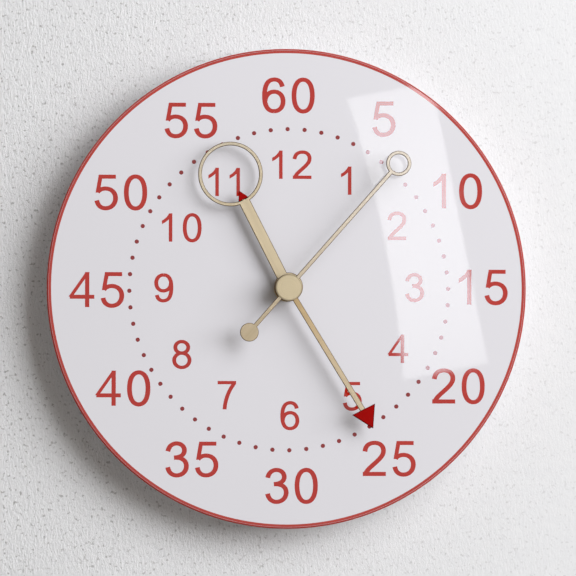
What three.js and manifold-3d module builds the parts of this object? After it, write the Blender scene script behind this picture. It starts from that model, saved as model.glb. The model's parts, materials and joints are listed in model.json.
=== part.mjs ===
// Teaching wall clock: a printed acrylic dial on a quartz movement, with three brass hands.
// Lengths are in millimetres. The clock stands with +Z up and its dial facing -Y, and its origin
// is on the spindle axis in the plane of the wall that it hangs on.
// Every piece is built face on, with x to the right, y up and z as the height above the wall.
// The outer group at the end stands the clock upright.
import * as THREE from "three";
import { mergeVertices } from "three/addons/utils/BufferGeometryUtils.js";
import Module from "manifold-3d";

const wasm = await Module();
wasm.setup();

const DEGREE = Math.PI / 180;

// Clearances that the whole clock shares
const runningClearance = 0.3;
const seatClearance = 0.3;
const cutOverrun = 1;

// Dial
const dialDiameter = 254;
const dialThickness = 4;
const dialEdgeRadius = 0.8;
const gasketThickness = 1;
const gasketRadius = 14;
const dialWasherThickness = 0.5;
const dialWasherRadius = 7;
const hexNutThickness = 2;
const hexNutAcrossFlats = 11;

// Where the hands stand in the photograph, clockwise from twelve
const hourHandAngle = 333.1 * DEGREE;
const minuteHandAngle = 149.6 * DEGREE;
const secondHandAngle = 41.5 * DEGREE;

// Hour hand
const hourHandThickness = 0.8;
const hourBarWidth = 6;
const hourHubRadius = 7.6;
const hourRingDistance = 67.3;
const hourRingRadius = 17.05;
const hourRingBand = 1.95;
const hourTipWidth = 5.9;
const hourTipLength = 4.9;
const hourTongueWidth = 2;
const tipThickness = 0.7;

// Minute hand
const minuteHandThickness = 0.8;
const minuteBarWidth = 3;
const minuteHubRadius = 7.2;
const minuteHandLength = 86.5;
const minuteTipWidth = 13.4;
const minuteTipLength = 10.8;

// Second hand and its cap
const secondHandThickness = 0.8;
const secondBarWidth = 2.2;
const secondHubRadius = 2.6;
const secondRingDistance = 87.6;
const secondRingRadius = 6.65;
const secondRingBand = 1.85;
const counterweightDistance = 31.4;
const counterweightRadius = 4.9;
const capRadius = 6.95;
const capThickness = 2.6;
const capBevelWidth = 1.2;
const capBevelHeight = 0.9;
const capSkin = 0.5;

// Heights between the hands
const bushingStandOut = 2.4;
const hourHandGap = 1.5;
const minuteHandGap = 1.8;
const minuteNutThickness = 1.1;
const minuteNutAcrossFlats = 5.5;
const secondHandGap = 0.5;
const pipeStandOut = 0.2;
const threadClearance = 0.15;

// Spindle, from the inside out: second arbor, minute arbor, hour pipe, threaded bushing
const arborRadius = 0.45;
const minuteArborRadius = 1.65;
const hourPipeRadius = 2.5;
const bushingRadius = 4;
const colletRadius = 1.1;
const colletLength = 1.5;

// Dry cell, which sets how deep and how wide the movement case is
const cellDiameter = 14.2;
const cellLength = 50;
const cellNubRadius = 2.75;
const cellNubLength = 1.2;
const cellEdgeRadius = 0.6;
const cellRecess = 0.4;

// Movement case and rear cover
const caseWall = 1.6;
const caseCornerRadius = 3;
const bayWall = 1;
const bayClearance = 1.24;
const coverThickness = 1.6;
const coverLedge = 0.6;
const fingerNotchRadius = 7;
const pivotHoleDepth = 0.9;

// Gear wheels: tooth counts, centre distances and the directions between their axes
const pinionLeaves = 8;
const thirdWheelTeeth = 60;
const centreWheelTeeth = 64;
const secondWheelTeeth = 40;
const intermediateWheelTeeth = 48;
const cannonPinionLeaves = 10;
const motionWheelTeeth = 30;
const motionPinionLeaves = 8;
const hourWheelTeeth = 32;
const knobPinionLeaves = 10;
const thirdDistance = 10.2;
const thirdDirection = 180 * DEGREE;
const intermediateDistance = 10.8;
const intermediateDirection = 60 * DEGREE;
const rotorDistance = 7.35;
const rotorDirection = 20 * DEGREE;
const motionDistance = 10;
const motionDirection = 0 * DEGREE;
const knobDirection = 0 * DEGREE;

// Tooth form, in shares of the module and of the angle from tooth to tooth
const addendumShare = 0.8;
const dedendumShare = 1.1;
const toothTipShare = 0.2;
const toothRootShare = 0.46;

// Thicknesses and gaps of the wheels, counted from the case front towards the wall
const trainWheelThickness = 0.8;
const centreWheelThickness = 1;
const motionWheelThickness = 1;
const hourWheelThickness = 1.2;
const layerGap = 0.7;
const pinionOverlap = 0.2;
const hubRadius = 1.1;

// Train bridge and the pillars that carry it
const bridgeHeight = 2.6;
const bridgeThickness = 1;
const bridgeInset = 2.4;
const pillarRadius = 1.5;
const pillarPinRadius = 0.7;
const pinStandOut = 0.3;
const smallPostRadius = 1.2;
const motionPostRadius = 0.8;

// Stepping motor
const rotorMagnetRadius = 2.7;
const rotorMagnetLength = 2.4;
const statorThickness = 0.8;
const statorHalfLength = 10;
const statorBarWidth = 4.4;
const statorBarRise = 0.8;
const statorEarWidth = 3;
const statorEyeRadius = 5.2;
const statorPostDistance = 8;
const coreWidth = 2.8;
const bobbinFlangeRadius = 3.3;
const bobbinFlangeThickness = 0.6;
const bobbinTubeRadius = 2.25;
const windingRadius = 3.1;
const windingClearance = 0.1;

// Circuit board
const boardThickness = 0.8;
const boardWidth = 7.3;
const boardSideGap = 1.2;
const crystalRadius = 1;
const crystalLength = 6;
const crystalLeadWidth = 0.4;
const crystalLeadLength = 1.2;
const crystalPlace = -14;
const chipRadius = 3;
const chipHeight = 1.2;
const chipPlace = -5;

// Battery contacts
const contactThickness = 0.4;
const contactPlateLength = 11;
const contactPlateDepth = 9;
const contactStripWidth = 3;
const contactTabLength = 2.7;
const contactTabWidth = 2.6;
const leafReach = 0.8;
const leafLength = 7;
const leafDepth = 4;

// Setting knob
const knobRadius = 5;
const knobThickness = 1.8;
const knobBackGap = 0.3;
const knobFlutes = 16;
const knobFluteDepth = 0.5;
const knobArborRadius = 1.5;
const knobPivotRadius = 0.8;

// Hanger ear
const earWidth = 18;
const earHeight = 13;
const earThickness = 2.4;
const earEyeRadius = 3.6;
const earSlotRadius = 1.6;
const earSlotRise = 4.2;
const earEyeHeight = 5.2;
const earTongueWidth = 4;
const earTongueSpacing = 9;
const earTongueThickness = 1.2;

// Pitch radii of the gear wheels
const wheelRadius = (distance, teeth, mate) => (distance * teeth) / (teeth + mate);
const moduleOf = (pitchRadius, teeth) => (2 * pitchRadius) / teeth;
const tipRadius = (pitchRadius, teeth) => pitchRadius + addendumShare * moduleOf(pitchRadius, teeth);

const thirdWheelRadius = wheelRadius(thirdDistance, thirdWheelTeeth, pinionLeaves);
const secondPinionRadius = thirdDistance - thirdWheelRadius;
const centreWheelRadius = wheelRadius(thirdDistance, centreWheelTeeth, pinionLeaves);
const thirdPinionRadius = thirdDistance - centreWheelRadius;
const secondWheelRadius = wheelRadius(intermediateDistance, secondWheelTeeth, pinionLeaves);
const intermediatePinionRadius = intermediateDistance - secondWheelRadius;
const intermediateWheelRadius = wheelRadius(rotorDistance, intermediateWheelTeeth, pinionLeaves);
const rotorPinionRadius = rotorDistance - intermediateWheelRadius;
const motionWheelRadius = wheelRadius(motionDistance, motionWheelTeeth, cannonPinionLeaves);
const cannonPinionRadius = motionDistance - motionWheelRadius;
const hourWheelRadius = wheelRadius(motionDistance, hourWheelTeeth, motionPinionLeaves);
const motionPinionRadius = motionDistance - hourWheelRadius;
const knobPinionRadius = (motionWheelRadius * knobPinionLeaves) / motionWheelTeeth;
const knobDistance = motionWheelRadius + knobPinionRadius;

// Places of the axes, face on
const polar = (distance, direction) =>
  new THREE.Vector2(distance * Math.cos(direction), distance * Math.sin(direction));
const spindlePlace = new THREE.Vector2(0, 0);
const thirdPlace = polar(thirdDistance, thirdDirection);
const intermediatePlace = polar(intermediateDistance, intermediateDirection);
const rotorPlace = polar(rotorDistance, rotorDirection).add(intermediatePlace);
const motionPlace = polar(motionDistance, motionDirection);
const knobPlace = polar(knobDistance, knobDirection).add(motionPlace);

// The case is as wide as the cell with its contacts, or as the opening for the knob
const contactSpace = contactThickness + 2 * seatClearance;
const cellRun = cellLength + 2 * contactSpace + leafReach;
const knobOpeningRadius = knobRadius + 2 * runningClearance;
const innerHalfWidth = Math.max(cellRun / 2, knobPlace.x + knobOpeningRadius + coverLedge);
const caseHalfWidth = innerHalfWidth + caseWall;

// The case is as high on each side of the spindle as the gear train and the bay of the cell
const bayWidth = cellDiameter + 2 * seatClearance;
const trainReach =
  Math.max(
    tipRadius(secondWheelRadius, secondWheelTeeth),
    tipRadius(centreWheelRadius, centreWheelTeeth),
    tipRadius(thirdWheelRadius, thirdWheelTeeth),
  ) + bayClearance;
const innerHalfHeight = trainReach + bayWall + bayWidth;
const caseHalfHeight = innerHalfHeight + caseWall;
const bayTop = -trainReach - bayWall;
const bayMiddle = bayTop - bayWidth / 2;

// The case is as deep as the cell, or as the wheels on their bridge
const wheelThicknesses =
  hourWheelThickness + motionWheelThickness + centreWheelThickness + 3 * trainWheelThickness;
const wheelStack =
  runningClearance + wheelThicknesses + 5 * layerGap + pinionOverlap + runningClearance;
const caseInnerFront = Math.max(
  cellRecess + cellDiameter + seatClearance,
  bridgeHeight + bridgeThickness + wheelStack,
);
const caseDepth = caseInnerFront + caseWall;

// Heights above the wall, from the case forwards
const gasketFront = caseDepth + gasketThickness;
const dialFront = gasketFront + dialThickness;
const dialWasherFront = dialFront + dialWasherThickness;
const hexNutFront = dialWasherFront + hexNutThickness;
const bushingFront = hexNutFront + bushingStandOut;
const hourHandBack = bushingFront + hourHandGap;
const hourHandFront = hourHandBack + hourHandThickness;
const minuteHandBack = hourHandFront + minuteHandGap;
const minuteHandFront = minuteHandBack + minuteHandThickness;
const minuteNutFront = minuteHandFront + minuteNutThickness;
const capBack = minuteNutFront + secondHandGap;
const capFront = capBack + capThickness;
const secondHandFront = capFront - capSkin;
const secondHandBack = secondHandFront - secondHandThickness;

// Heights above the wall, from the case front backwards through the wheels
const hourWheelFront = caseInnerFront - runningClearance;
const hourWheelBack = hourWheelFront - hourWheelThickness;
const motionWheelFront = hourWheelBack - layerGap;
const motionWheelBack = motionWheelFront - motionWheelThickness;
const centreWheelFront = motionWheelBack - layerGap;
const centreWheelBack = centreWheelFront - centreWheelThickness;
const thirdWheelFront = centreWheelBack - layerGap;
const thirdWheelBack = thirdWheelFront - trainWheelThickness;
const secondWheelFront = thirdWheelBack - layerGap;
const secondWheelBack = secondWheelFront - trainWheelThickness;
const intermediateWheelFront = secondWheelBack - layerGap;
const intermediateWheelBack = intermediateWheelFront - trainWheelThickness;
const rotorMagnetBack = intermediateWheelFront + 2 * pinionOverlap;
const statorBack = rotorMagnetBack + (rotorMagnetLength - statorThickness) / 2;
const statorFront = statorBack + statorThickness;
const bridgeFront = bridgeHeight + bridgeThickness;
const pivotBack = bridgeHeight + pinionOverlap;
const pivotFront = caseInnerFront + pivotHoleDepth - seatClearance;

// Places of the coil, the board and the posts, face on
const coilHeight = innerHalfHeight - seatClearance - bobbinFlangeRadius;
const boardTop = innerHalfHeight - seatClearance;
const boardBottom = boardTop - boardWidth;
const boardHalf = innerHalfWidth - boardSideGap;
const boardPostPlaces = [-1, 1].map(
  (side) => new THREE.Vector2(side * (boardHalf - pillarRadius), boardTop - pillarRadius),
);
const pillarInset = bridgeInset + pillarRadius;
const pillarPlaces = [
  new THREE.Vector2(-innerHalfWidth + pillarInset, boardBottom - pillarInset),
  new THREE.Vector2(-innerHalfWidth + pillarInset, -trainReach + 2 * pillarRadius),
  new THREE.Vector2(motionPlace.x + hourWheelRadius, -trainReach + 2 * pillarRadius),
  new THREE.Vector2(innerHalfWidth - pillarInset, rotorPlace.y - statorBarWidth),
];
const statorPostPlaces = [-1, 1].map(
  (side) =>
    new THREE.Vector2(
      rotorPlace.x + side * statorPostDistance,
      rotorPlace.y + statorBarRise + statorBarWidth / 2,
    ),
);

// Turns a geometry into a solid that can be joined and cut.
function solidOf(geometry) {
  const bare = geometry.index ? geometry.toNonIndexed() : geometry.clone();
  bare.deleteAttribute("normal");
  bare.deleteAttribute("uv");
  const merged = mergeVertices(bare);
  const corners = merged.index.array;
  const kept = [];
  for (let i = 0; i < corners.length; i += 3) {
    const [a, b, c] = corners.slice(i, i + 3);
    if (a !== b && b !== c && c !== a) kept.push(a, b, c);
  }
  return new wasm.Manifold(
    new wasm.Mesh({
      numProp: 3,
      vertProperties: merged.attributes.position.array,
      triVerts: new Uint32Array(kept),
    }),
  );
}

// Turns a solid back into a geometry that a mesh can show.
function geometryOf(solid) {
  const mesh = solid.getMesh();
  const geometry = new THREE.BufferGeometry();
  geometry.setAttribute("position", new THREE.BufferAttribute(mesh.vertProperties, 3));
  geometry.setIndex(new THREE.BufferAttribute(mesh.triVerts, 1));
  geometry.computeVertexNormals();
  return geometry;
}

const join = (...solids) => solids.reduce((whole, next) => whole.add(next));
const cut = (body, ...tools) => tools.reduce((rest, tool) => rest.subtract(tool), body);

// A flat outline raised from one height to another.
function slab(shape, back, front) {
  const geometry = new THREE.ExtrudeGeometry(shape, {
    depth: front - back,
    bevelEnabled: false,
    curveSegments: 4,
  });
  return solidOf(geometry.translate(0, 0, back));
}

// A box between two corners.
function block(x0, x1, y0, y1, z0, z1) {
  const geometry = new THREE.BoxGeometry(x1 - x0, y1 - y0, z1 - z0);
  return solidOf(geometry.translate((x0 + x1) / 2, (y0 + y1) / 2, (z0 + z1) / 2));
}

// A round bar that stands on the face plane.
function rod(radius, back, front, place = spindlePlace, segments = 12) {
  const geometry = new THREE.CylinderGeometry(radius, radius, front - back, segments);
  geometry.rotateX(Math.PI / 2);
  return solidOf(geometry.translate(place.x, place.y, (back + front) / 2));
}

// A washer or tube.
function tube(bore, radius, back, front, place = spindlePlace, segments = 24) {
  return turned([[bore, back], [radius, back], [radius, front], [bore, front]], place, segments);
}

// A closed profile of radius and height, turned about its own axis.
function turned(profile, place = spindlePlace, segments = 24) {
  const points = profile.map(([radius, height]) => new THREE.Vector2(radius, height));
  const touchesAxis = points[0].x === 0 && points[points.length - 1].x === 0;
  if (!touchesAxis) points.push(points[0].clone());
  const geometry = new THREE.LatheGeometry(points, segments);
  geometry.rotateX(Math.PI / 2);
  return solidOf(geometry.translate(place.x, place.y, 0));
}

// Points of a quarter circle, from one angle to the next, about a centre of radius and height.
function arc(radius, height, size, from, to, steps) {
  return Array.from({ length: steps + 1 }, (_, i) => {
    const angle = from + ((to - from) * i) / steps;
    return [radius + size * Math.cos(angle), height + size * Math.sin(angle)];
  });
}

// A rectangle with round corners.
function roundedRectangle(x0, x1, y0, y1, corner) {
  const shape = new THREE.Shape();
  shape.moveTo(x0 + corner, y0);
  shape.absarc(x1 - corner, y0 + corner, corner, -Math.PI / 2, 0);
  shape.absarc(x1 - corner, y1 - corner, corner, 0, Math.PI / 2);
  shape.absarc(x0 + corner, y1 - corner, corner, Math.PI / 2, Math.PI);
  shape.absarc(x0 + corner, y0 + corner, corner, Math.PI, 1.5 * Math.PI);
  return shape;
}

// A six-sided nut with a round bore.
function hexNut(acrossFlats, bore, back, front) {
  const corner = acrossFlats / 2 / Math.cos(Math.PI / 6);
  return cut(
    rod(corner, back, front, spindlePlace, 6),
    rod(bore, back - cutOverrun, front + cutOverrun, spindlePlace, 24),
  );
}

// A toothed disc: each tooth is a root flank, a flat tip and a second flank.
function toothed(teeth, pitchRadius, phase, back, front, place) {
  const module = moduleOf(pitchRadius, teeth);
  const step = (2 * Math.PI) / teeth;
  const root = pitchRadius - dedendumShare * module;
  const tip = pitchRadius + addendumShare * module;
  const corners = [
    [root, -toothRootShare / 2],
    [tip, -toothTipShare / 2],
    [tip, toothTipShare / 2],
    [root, toothRootShare / 2],
  ];
  const points = [];
  for (let i = 0; i < teeth; i += 1) {
    for (const [radius, share] of corners) {
      points.push(polar(radius, phase + (i + share) * step).add(place));
    }
  }
  return slab(new THREE.Shape(points), back, front);
}

// The phase that puts a gap of the next wheel where the first wheel has a tooth.
function meshedPhase(phase, teeth, nextTeeth, direction) {
  const step = (2 * Math.PI) / teeth;
  const nextStep = (2 * Math.PI) / nextTeeth;
  const lead = (direction - phase) / step;
  return direction + Math.PI - (0.5 - lead) * nextStep;
}

// Colours and surfaces
const finishes = {
  whiteAcrylic: { color: 0xe2e2e5, roughness: 0.1, metalness: 0 },
  brass: { color: 0xcec098, roughness: 0.35, metalness: 0.9 },
  redEnamel: { color: 0xa20d0d, roughness: 0.4, metalness: 0 },
  turnedBrass: { color: 0xb59a56, roughness: 0.35, metalness: 0.9 },
  steel: { color: 0xb8babd, roughness: 0.3, metalness: 0.9 },
  magnet: { color: 0x4b4b4f, roughness: 0.5, metalness: 0.6 },
  blackPlastic: { color: 0x1d1e20, roughness: 0.55, metalness: 0 },
  whitePlastic: { color: 0xdedcd4, roughness: 0.5, metalness: 0 },
  rubber: { color: 0x17181a, roughness: 0.9, metalness: 0 },
  copper: { color: 0xb0683a, roughness: 0.4, metalness: 0.8 },
  board: { color: 0x9a7a45, roughness: 0.6, metalness: 0 },
  epoxy: { color: 0x121214, roughness: 0.3, metalness: 0 },
  cellSleeve: { color: 0x2b4a7d, roughness: 0.3, metalness: 0.1 },
};

function piece(name, solid, finish) {
  const mesh = new THREE.Mesh(geometryOf(solid), new THREE.MeshStandardMaterial(finish));
  mesh.name = name;
  return mesh;
}

// Dial disc with both rims rounded and a hole for the bushing
function dialDisc() {
  const bore = bushingRadius + seatClearance;
  const rim = dialDiameter / 2 - dialEdgeRadius;
  const profile = [
    [bore, gasketFront],
    ...arc(rim, gasketFront + dialEdgeRadius, dialEdgeRadius, -Math.PI / 2, 0, 2),
    ...arc(rim, dialFront - dialEdgeRadius, dialEdgeRadius, 0, Math.PI / 2, 2),
    [bore, dialFront],
  ];
  return piece("dial_disc", turned(profile, spindlePlace, 96), finishes.whiteAcrylic);
}

// Gasket, washer and nut that clamp the dial to the movement
function dialFixing() {
  const bore = bushingRadius + seatClearance;
  const nutBore = bushingRadius + threadClearance;
  return [
    piece("rubber_gasket", tube(bore, gasketRadius, caseDepth, gasketFront), finishes.rubber),
    piece("dial_washer", tube(bore, dialWasherRadius, dialFront, dialWasherFront), finishes.turnedBrass),
    piece(
      "dial_nut",
      hexNut(hexNutAcrossFlats, nutBore, dialWasherFront, hexNutFront),
      finishes.turnedBrass,
    ),
  ];
}

// Brass bushing that the hour pipe turns in
function threadedBushing() {
  const bore = hourPipeRadius + runningClearance;
  return piece(
    "threaded_bushing",
    tube(bore, bushingRadius, caseInnerFront, bushingFront),
    finishes.turnedBrass,
  );
}

// A flat triangle that points along y
function arrowhead(width, base, apex, back, front) {
  const shape = new THREE.Shape([
    new THREE.Vector2(-width / 2, base),
    new THREE.Vector2(width / 2, base),
    new THREE.Vector2(0, apex),
  ]);
  return slab(shape, back, front);
}

// Hour hand: hub, bar and ring in one plate, and the arrowhead laid on its tongue inside the ring
function hourHand() {
  const ringPlace = new THREE.Vector2(0, hourRingDistance);
  const ringBore = hourRingRadius - hourRingBand;
  const barEnd = hourRingDistance - ringBore;
  const tongueEnd = barEnd + hourTipLength / 2;
  const bore = hourPipeRadius + threadClearance;
  const plate = join(
    rod(hourHubRadius, hourHandBack, hourHandFront, spindlePlace, 36),
    block(-hourBarWidth / 2, hourBarWidth / 2, 0, barEnd, hourHandBack, hourHandFront),
    block(-hourTongueWidth / 2, hourTongueWidth / 2, 0, tongueEnd, hourHandBack, hourHandFront),
    tube(ringBore, hourRingRadius, hourHandBack, hourHandFront, ringPlace, 48),
  );
  const shaftHole = rod(bore, hourHandBack - cutOverrun, hourHandFront + cutOverrun, spindlePlace, 24);
  const tip = arrowhead(
    hourTipWidth,
    barEnd,
    barEnd + hourTipLength,
    hourHandFront,
    hourHandFront + tipThickness,
  );
  const group = new THREE.Group();
  group.add(piece("hour_hand", cut(plate, shaftHole), finishes.brass));
  group.add(piece("hour_arrowhead", tip, finishes.redEnamel));
  group.rotation.z = -hourHandAngle;
  return group;
}

// Minute hand: hub and bar in one plate, and the arrowhead laid on the end of the bar
function minuteHand() {
  const tipBase = minuteHandLength - minuteTipLength;
  const barEnd = tipBase + minuteTipLength / 2;
  const bore = minuteArborRadius + threadClearance;
  const plate = join(
    rod(minuteHubRadius, minuteHandBack, minuteHandFront, spindlePlace, 36),
    block(-minuteBarWidth / 2, minuteBarWidth / 2, 0, barEnd, minuteHandBack, minuteHandFront),
  );
  const shaftHole = rod(
    bore,
    minuteHandBack - cutOverrun,
    minuteHandFront + cutOverrun,
    spindlePlace,
    24,
  );
  const tip = arrowhead(
    minuteTipWidth,
    tipBase,
    minuteHandLength,
    minuteHandFront,
    minuteHandFront + tipThickness,
  );
  const group = new THREE.Group();
  group.add(piece("minute_hand", cut(plate, shaftHole), finishes.brass));
  group.add(piece("minute_arrowhead", tip, finishes.redEnamel));
  group.rotation.z = -minuteHandAngle;
  return group;
}

// Second hand: one plate that lies in a channel cut in the back of the turned cap
function secondHand() {
  const ringPlace = new THREE.Vector2(0, secondRingDistance);
  const weightPlace = new THREE.Vector2(0, -counterweightDistance);
  const ringBore = secondRingRadius - secondRingBand;
  const half = secondBarWidth / 2;
  const barEnd = secondRingDistance - ringBore - secondRingBand / 2;
  const plate = join(
    rod(secondHubRadius, secondHandBack, secondHandFront, spindlePlace, 20),
    block(-half, half, -counterweightDistance, barEnd, secondHandBack, secondHandFront),
    rod(counterweightRadius, secondHandBack, secondHandFront, weightPlace, 28),
    tube(ringBore, secondRingRadius, secondHandBack, secondHandFront, ringPlace, 32),
  );
  const capProfile = [
    [0, capBack],
    [capRadius, capBack],
    [capRadius, capFront - capBevelHeight],
    [capRadius - capBevelWidth, capFront],
    [0, capFront],
  ];
  const turnedCap = turned(capProfile, spindlePlace, 36);
  const channelHalf = half + seatClearance;
  const channel = block(
    -channelHalf,
    channelHalf,
    -capRadius - cutOverrun,
    capRadius + cutOverrun,
    capBack - cutOverrun,
    secondHandFront,
  );
  const pocket = rod(
    secondHubRadius + seatClearance,
    capBack - cutOverrun,
    secondHandFront,
    spindlePlace,
    24,
  );
  const group = new THREE.Group();
  group.add(piece("second_hand", plate, finishes.brass));
  group.add(piece("centre_cap", cut(turnedCap, channel, pocket), finishes.brass));
  group.rotation.z = -secondHandAngle;
  return group;
}

// Collet on the back of the second hand, and the nut that holds the minute hand
function handFastenings() {
  const colletBore = arborRadius + threadClearance;
  const nutBore = minuteArborRadius + threadClearance;
  return [
    piece(
      "second_collet",
      tube(colletBore, colletRadius, secondHandBack - colletLength, secondHandBack, spindlePlace, 16),
      finishes.turnedBrass,
    ),
    piece(
      "minute_nut",
      hexNut(minuteNutAcrossFlats, nutBore, minuteHandFront, minuteNutFront),
      finishes.turnedBrass,
    ),
  ];
}

// Phases of the toothed wheels, each set by the wheel that it meshes with
const secondPinionPhase = 0;
const thirdWheelPhase = meshedPhase(secondPinionPhase, pinionLeaves, thirdWheelTeeth, thirdDirection);
const thirdPinionPhase = 0;
const centreWheelPhase = meshedPhase(
  thirdPinionPhase,
  pinionLeaves,
  centreWheelTeeth,
  thirdDirection + Math.PI,
);
const secondWheelPhase = 0;
const intermediatePinionPhase = meshedPhase(
  secondWheelPhase,
  secondWheelTeeth,
  pinionLeaves,
  intermediateDirection,
);
const intermediateWheelPhase = 0;
const rotorPinionPhase = meshedPhase(
  intermediateWheelPhase,
  intermediateWheelTeeth,
  pinionLeaves,
  rotorDirection,
);
const cannonPinionPhase = 0;
const motionWheelPhase = meshedPhase(
  cannonPinionPhase,
  cannonPinionLeaves,
  motionWheelTeeth,
  motionDirection,
);
const motionPinionPhase = 0;
const hourWheelPhase = meshedPhase(
  motionPinionPhase,
  motionPinionLeaves,
  hourWheelTeeth,
  motionDirection + Math.PI,
);
const knobPinionPhase = meshedPhase(
  motionWheelPhase,
  motionWheelTeeth,
  knobPinionLeaves,
  knobDirection,
);

// Steel arbor of the second hand, from its rear pivot through every other shaft
function secondArbor() {
  return piece(
    "second_arbor",
    rod(arborRadius, pivotBack, secondHandBack - pipeStandOut),
    finishes.steel,
  );
}

// Second wheel, its hub and its pinion, moulded in one and pressed on the second arbor
function secondWheel() {
  const pinionBack = thirdWheelBack - pinionOverlap;
  const pinionFront = thirdWheelFront + pinionOverlap;
  const moulding = join(
    toothed(
      secondWheelTeeth,
      secondWheelRadius,
      secondWheelPhase,
      secondWheelBack,
      secondWheelFront,
      spindlePlace,
    ),
    rod(hubRadius, secondWheelBack, pinionBack),
    toothed(
      pinionLeaves,
      secondPinionRadius,
      secondPinionPhase,
      pinionBack,
      pinionFront,
      spindlePlace,
    ),
  );
  const bore = rod(arborRadius + threadClearance, secondWheelBack - cutOverrun, pinionFront + cutOverrun);
  return piece("second_wheel", cut(moulding, bore), finishes.whitePlastic);
}

// A wheel and pinion moulded in one with the arbor that carries them
function arboredWheel(name, place, wheel, pinion) {
  const solid = join(
    toothed(wheel.teeth, wheel.radius, wheel.phase, wheel.back, wheel.front, place),
    toothed(pinion.teeth, pinion.radius, pinion.phase, wheel.front - pinionOverlap, pinion.front, place),
    rod(arborRadius, pivotBack, pivotFront, place),
    rod(hubRadius, wheel.back - pinionOverlap, wheel.front, place),
  );
  return piece(name, solid, finishes.whitePlastic);
}

function trainWheels() {
  return [
    arboredWheel(
      "intermediate_wheel",
      intermediatePlace,
      {
        teeth: intermediateWheelTeeth,
        radius: intermediateWheelRadius,
        phase: intermediateWheelPhase,
        back: intermediateWheelBack,
        front: intermediateWheelFront,
      },
      {
        teeth: pinionLeaves,
        radius: intermediatePinionRadius,
        phase: intermediatePinionPhase,
        front: secondWheelFront + pinionOverlap,
      },
    ),
    arboredWheel(
      "third_wheel",
      thirdPlace,
      {
        teeth: thirdWheelTeeth,
        radius: thirdWheelRadius,
        phase: thirdWheelPhase,
        back: thirdWheelBack,
        front: thirdWheelFront,
      },
      {
        teeth: pinionLeaves,
        radius: thirdPinionRadius,
        phase: thirdPinionPhase,
        front: centreWheelFront + pinionOverlap,
      },
    ),
  ];
}

// Centre wheel, which grips the rear sleeve of the cannon pinion
function centreWheel() {
  const wheel = toothed(
    centreWheelTeeth,
    centreWheelRadius,
    centreWheelPhase,
    centreWheelBack,
    centreWheelFront,
    spindlePlace,
  );
  const bore = rod(
    minuteArborRadius + runningClearance,
    centreWheelBack - cutOverrun,
    centreWheelFront + cutOverrun,
    spindlePlace,
    24,
  );
  return piece("centre_wheel", cut(wheel, bore), finishes.turnedBrass);
}

// Cannon pinion: the minute arbor with its leaves and the rear sleeve for the centre wheel
function cannonPinion() {
  const sleeveBack = centreWheelBack - pinionOverlap;
  const arborFront = minuteNutFront - pipeStandOut;
  const solid = join(
    rod(minuteArborRadius, sleeveBack, arborFront, spindlePlace, 24),
    toothed(
      cannonPinionLeaves,
      cannonPinionRadius,
      cannonPinionPhase,
      motionWheelBack - pinionOverlap,
      motionWheelFront + pinionOverlap,
      spindlePlace,
    ),
  );
  const bore = rod(
    arborRadius + runningClearance,
    sleeveBack - cutOverrun,
    arborFront + cutOverrun,
    spindlePlace,
    16,
  );
  return piece("cannon_pinion", cut(solid, bore), finishes.turnedBrass);
}

// Motion work wheel and pinion, which turn on a post of the case
function motionWheel() {
  const solid = join(
    toothed(
      motionWheelTeeth,
      motionWheelRadius,
      motionWheelPhase,
      motionWheelBack,
      motionWheelFront,
      motionPlace,
    ),
    toothed(
      motionPinionLeaves,
      motionPinionRadius,
      motionPinionPhase,
      motionWheelFront - pinionOverlap,
      hourWheelFront,
      motionPlace,
    ),
  );
  const bore = rod(
    motionPostRadius + runningClearance,
    motionWheelBack - cutOverrun,
    hourWheelFront + cutOverrun,
    motionPlace,
  );
  return piece("motion_work_wheel", cut(solid, bore), finishes.whitePlastic);
}

// Hour wheel and the pipe that carries the hour hand
function hourWheel() {
  const pipeFront = hourHandFront + pipeStandOut;
  const solid = join(
    toothed(
      hourWheelTeeth,
      hourWheelRadius,
      hourWheelPhase,
      hourWheelBack,
      hourWheelFront,
      spindlePlace,
    ),
    rod(hourPipeRadius, hourWheelBack, pipeFront, spindlePlace, 24),
  );
  const bore = rod(
    minuteArborRadius + runningClearance,
    hourWheelBack - cutOverrun,
    pipeFront + cutOverrun,
    spindlePlace,
    24,
  );
  return piece("hour_wheel", cut(solid, bore), finishes.whitePlastic);
}

// Setting knob: fluted head behind the rear cover, arbor, pinion and front pivot
function settingKnob() {
  const headBack = knobBackGap;
  const headFront = headBack + knobThickness;
  const pinionBack = motionWheelBack - pinionOverlap;
  const pinionFront = motionWheelFront + pinionOverlap;
  const step = Math.PI / knobFlutes;
  const rim = Array.from({ length: 2 * knobFlutes }, (_, i) =>
    polar(knobRadius - (i % 2) * knobFluteDepth, i * step).add(knobPlace),
  );
  const solid = join(
    slab(new THREE.Shape(rim), headBack, headFront),
    rod(knobArborRadius, headBack, pinionBack, knobPlace),
    toothed(
      knobPinionLeaves,
      knobPinionRadius,
      knobPinionPhase,
      pinionBack,
      pinionFront,
      knobPlace,
    ),
    rod(knobPivotRadius, pinionBack, pivotFront, knobPlace),
  );
  return piece("setting_knob", solid, finishes.whitePlastic);
}

// Rotor: steel pinion with its arbor, and the magnet round it
function rotor() {
  const magnetFront = rotorMagnetBack + rotorMagnetLength;
  const shaft = join(
    toothed(
      pinionLeaves,
      rotorPinionRadius,
      rotorPinionPhase,
      intermediateWheelBack - pinionOverlap,
      intermediateWheelFront + pinionOverlap,
      rotorPlace,
    ),
    rod(arborRadius, pivotBack, pivotFront, rotorPlace),
  );
  const magnet = tube(
    arborRadius + threadClearance,
    rotorMagnetRadius,
    rotorMagnetBack,
    magnetFront,
    rotorPlace,
    24,
  );
  return [
    piece("rotor_pinion", shaft, finishes.steel),
    piece("rotor_magnet", magnet, finishes.magnet),
  ];
}

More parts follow.
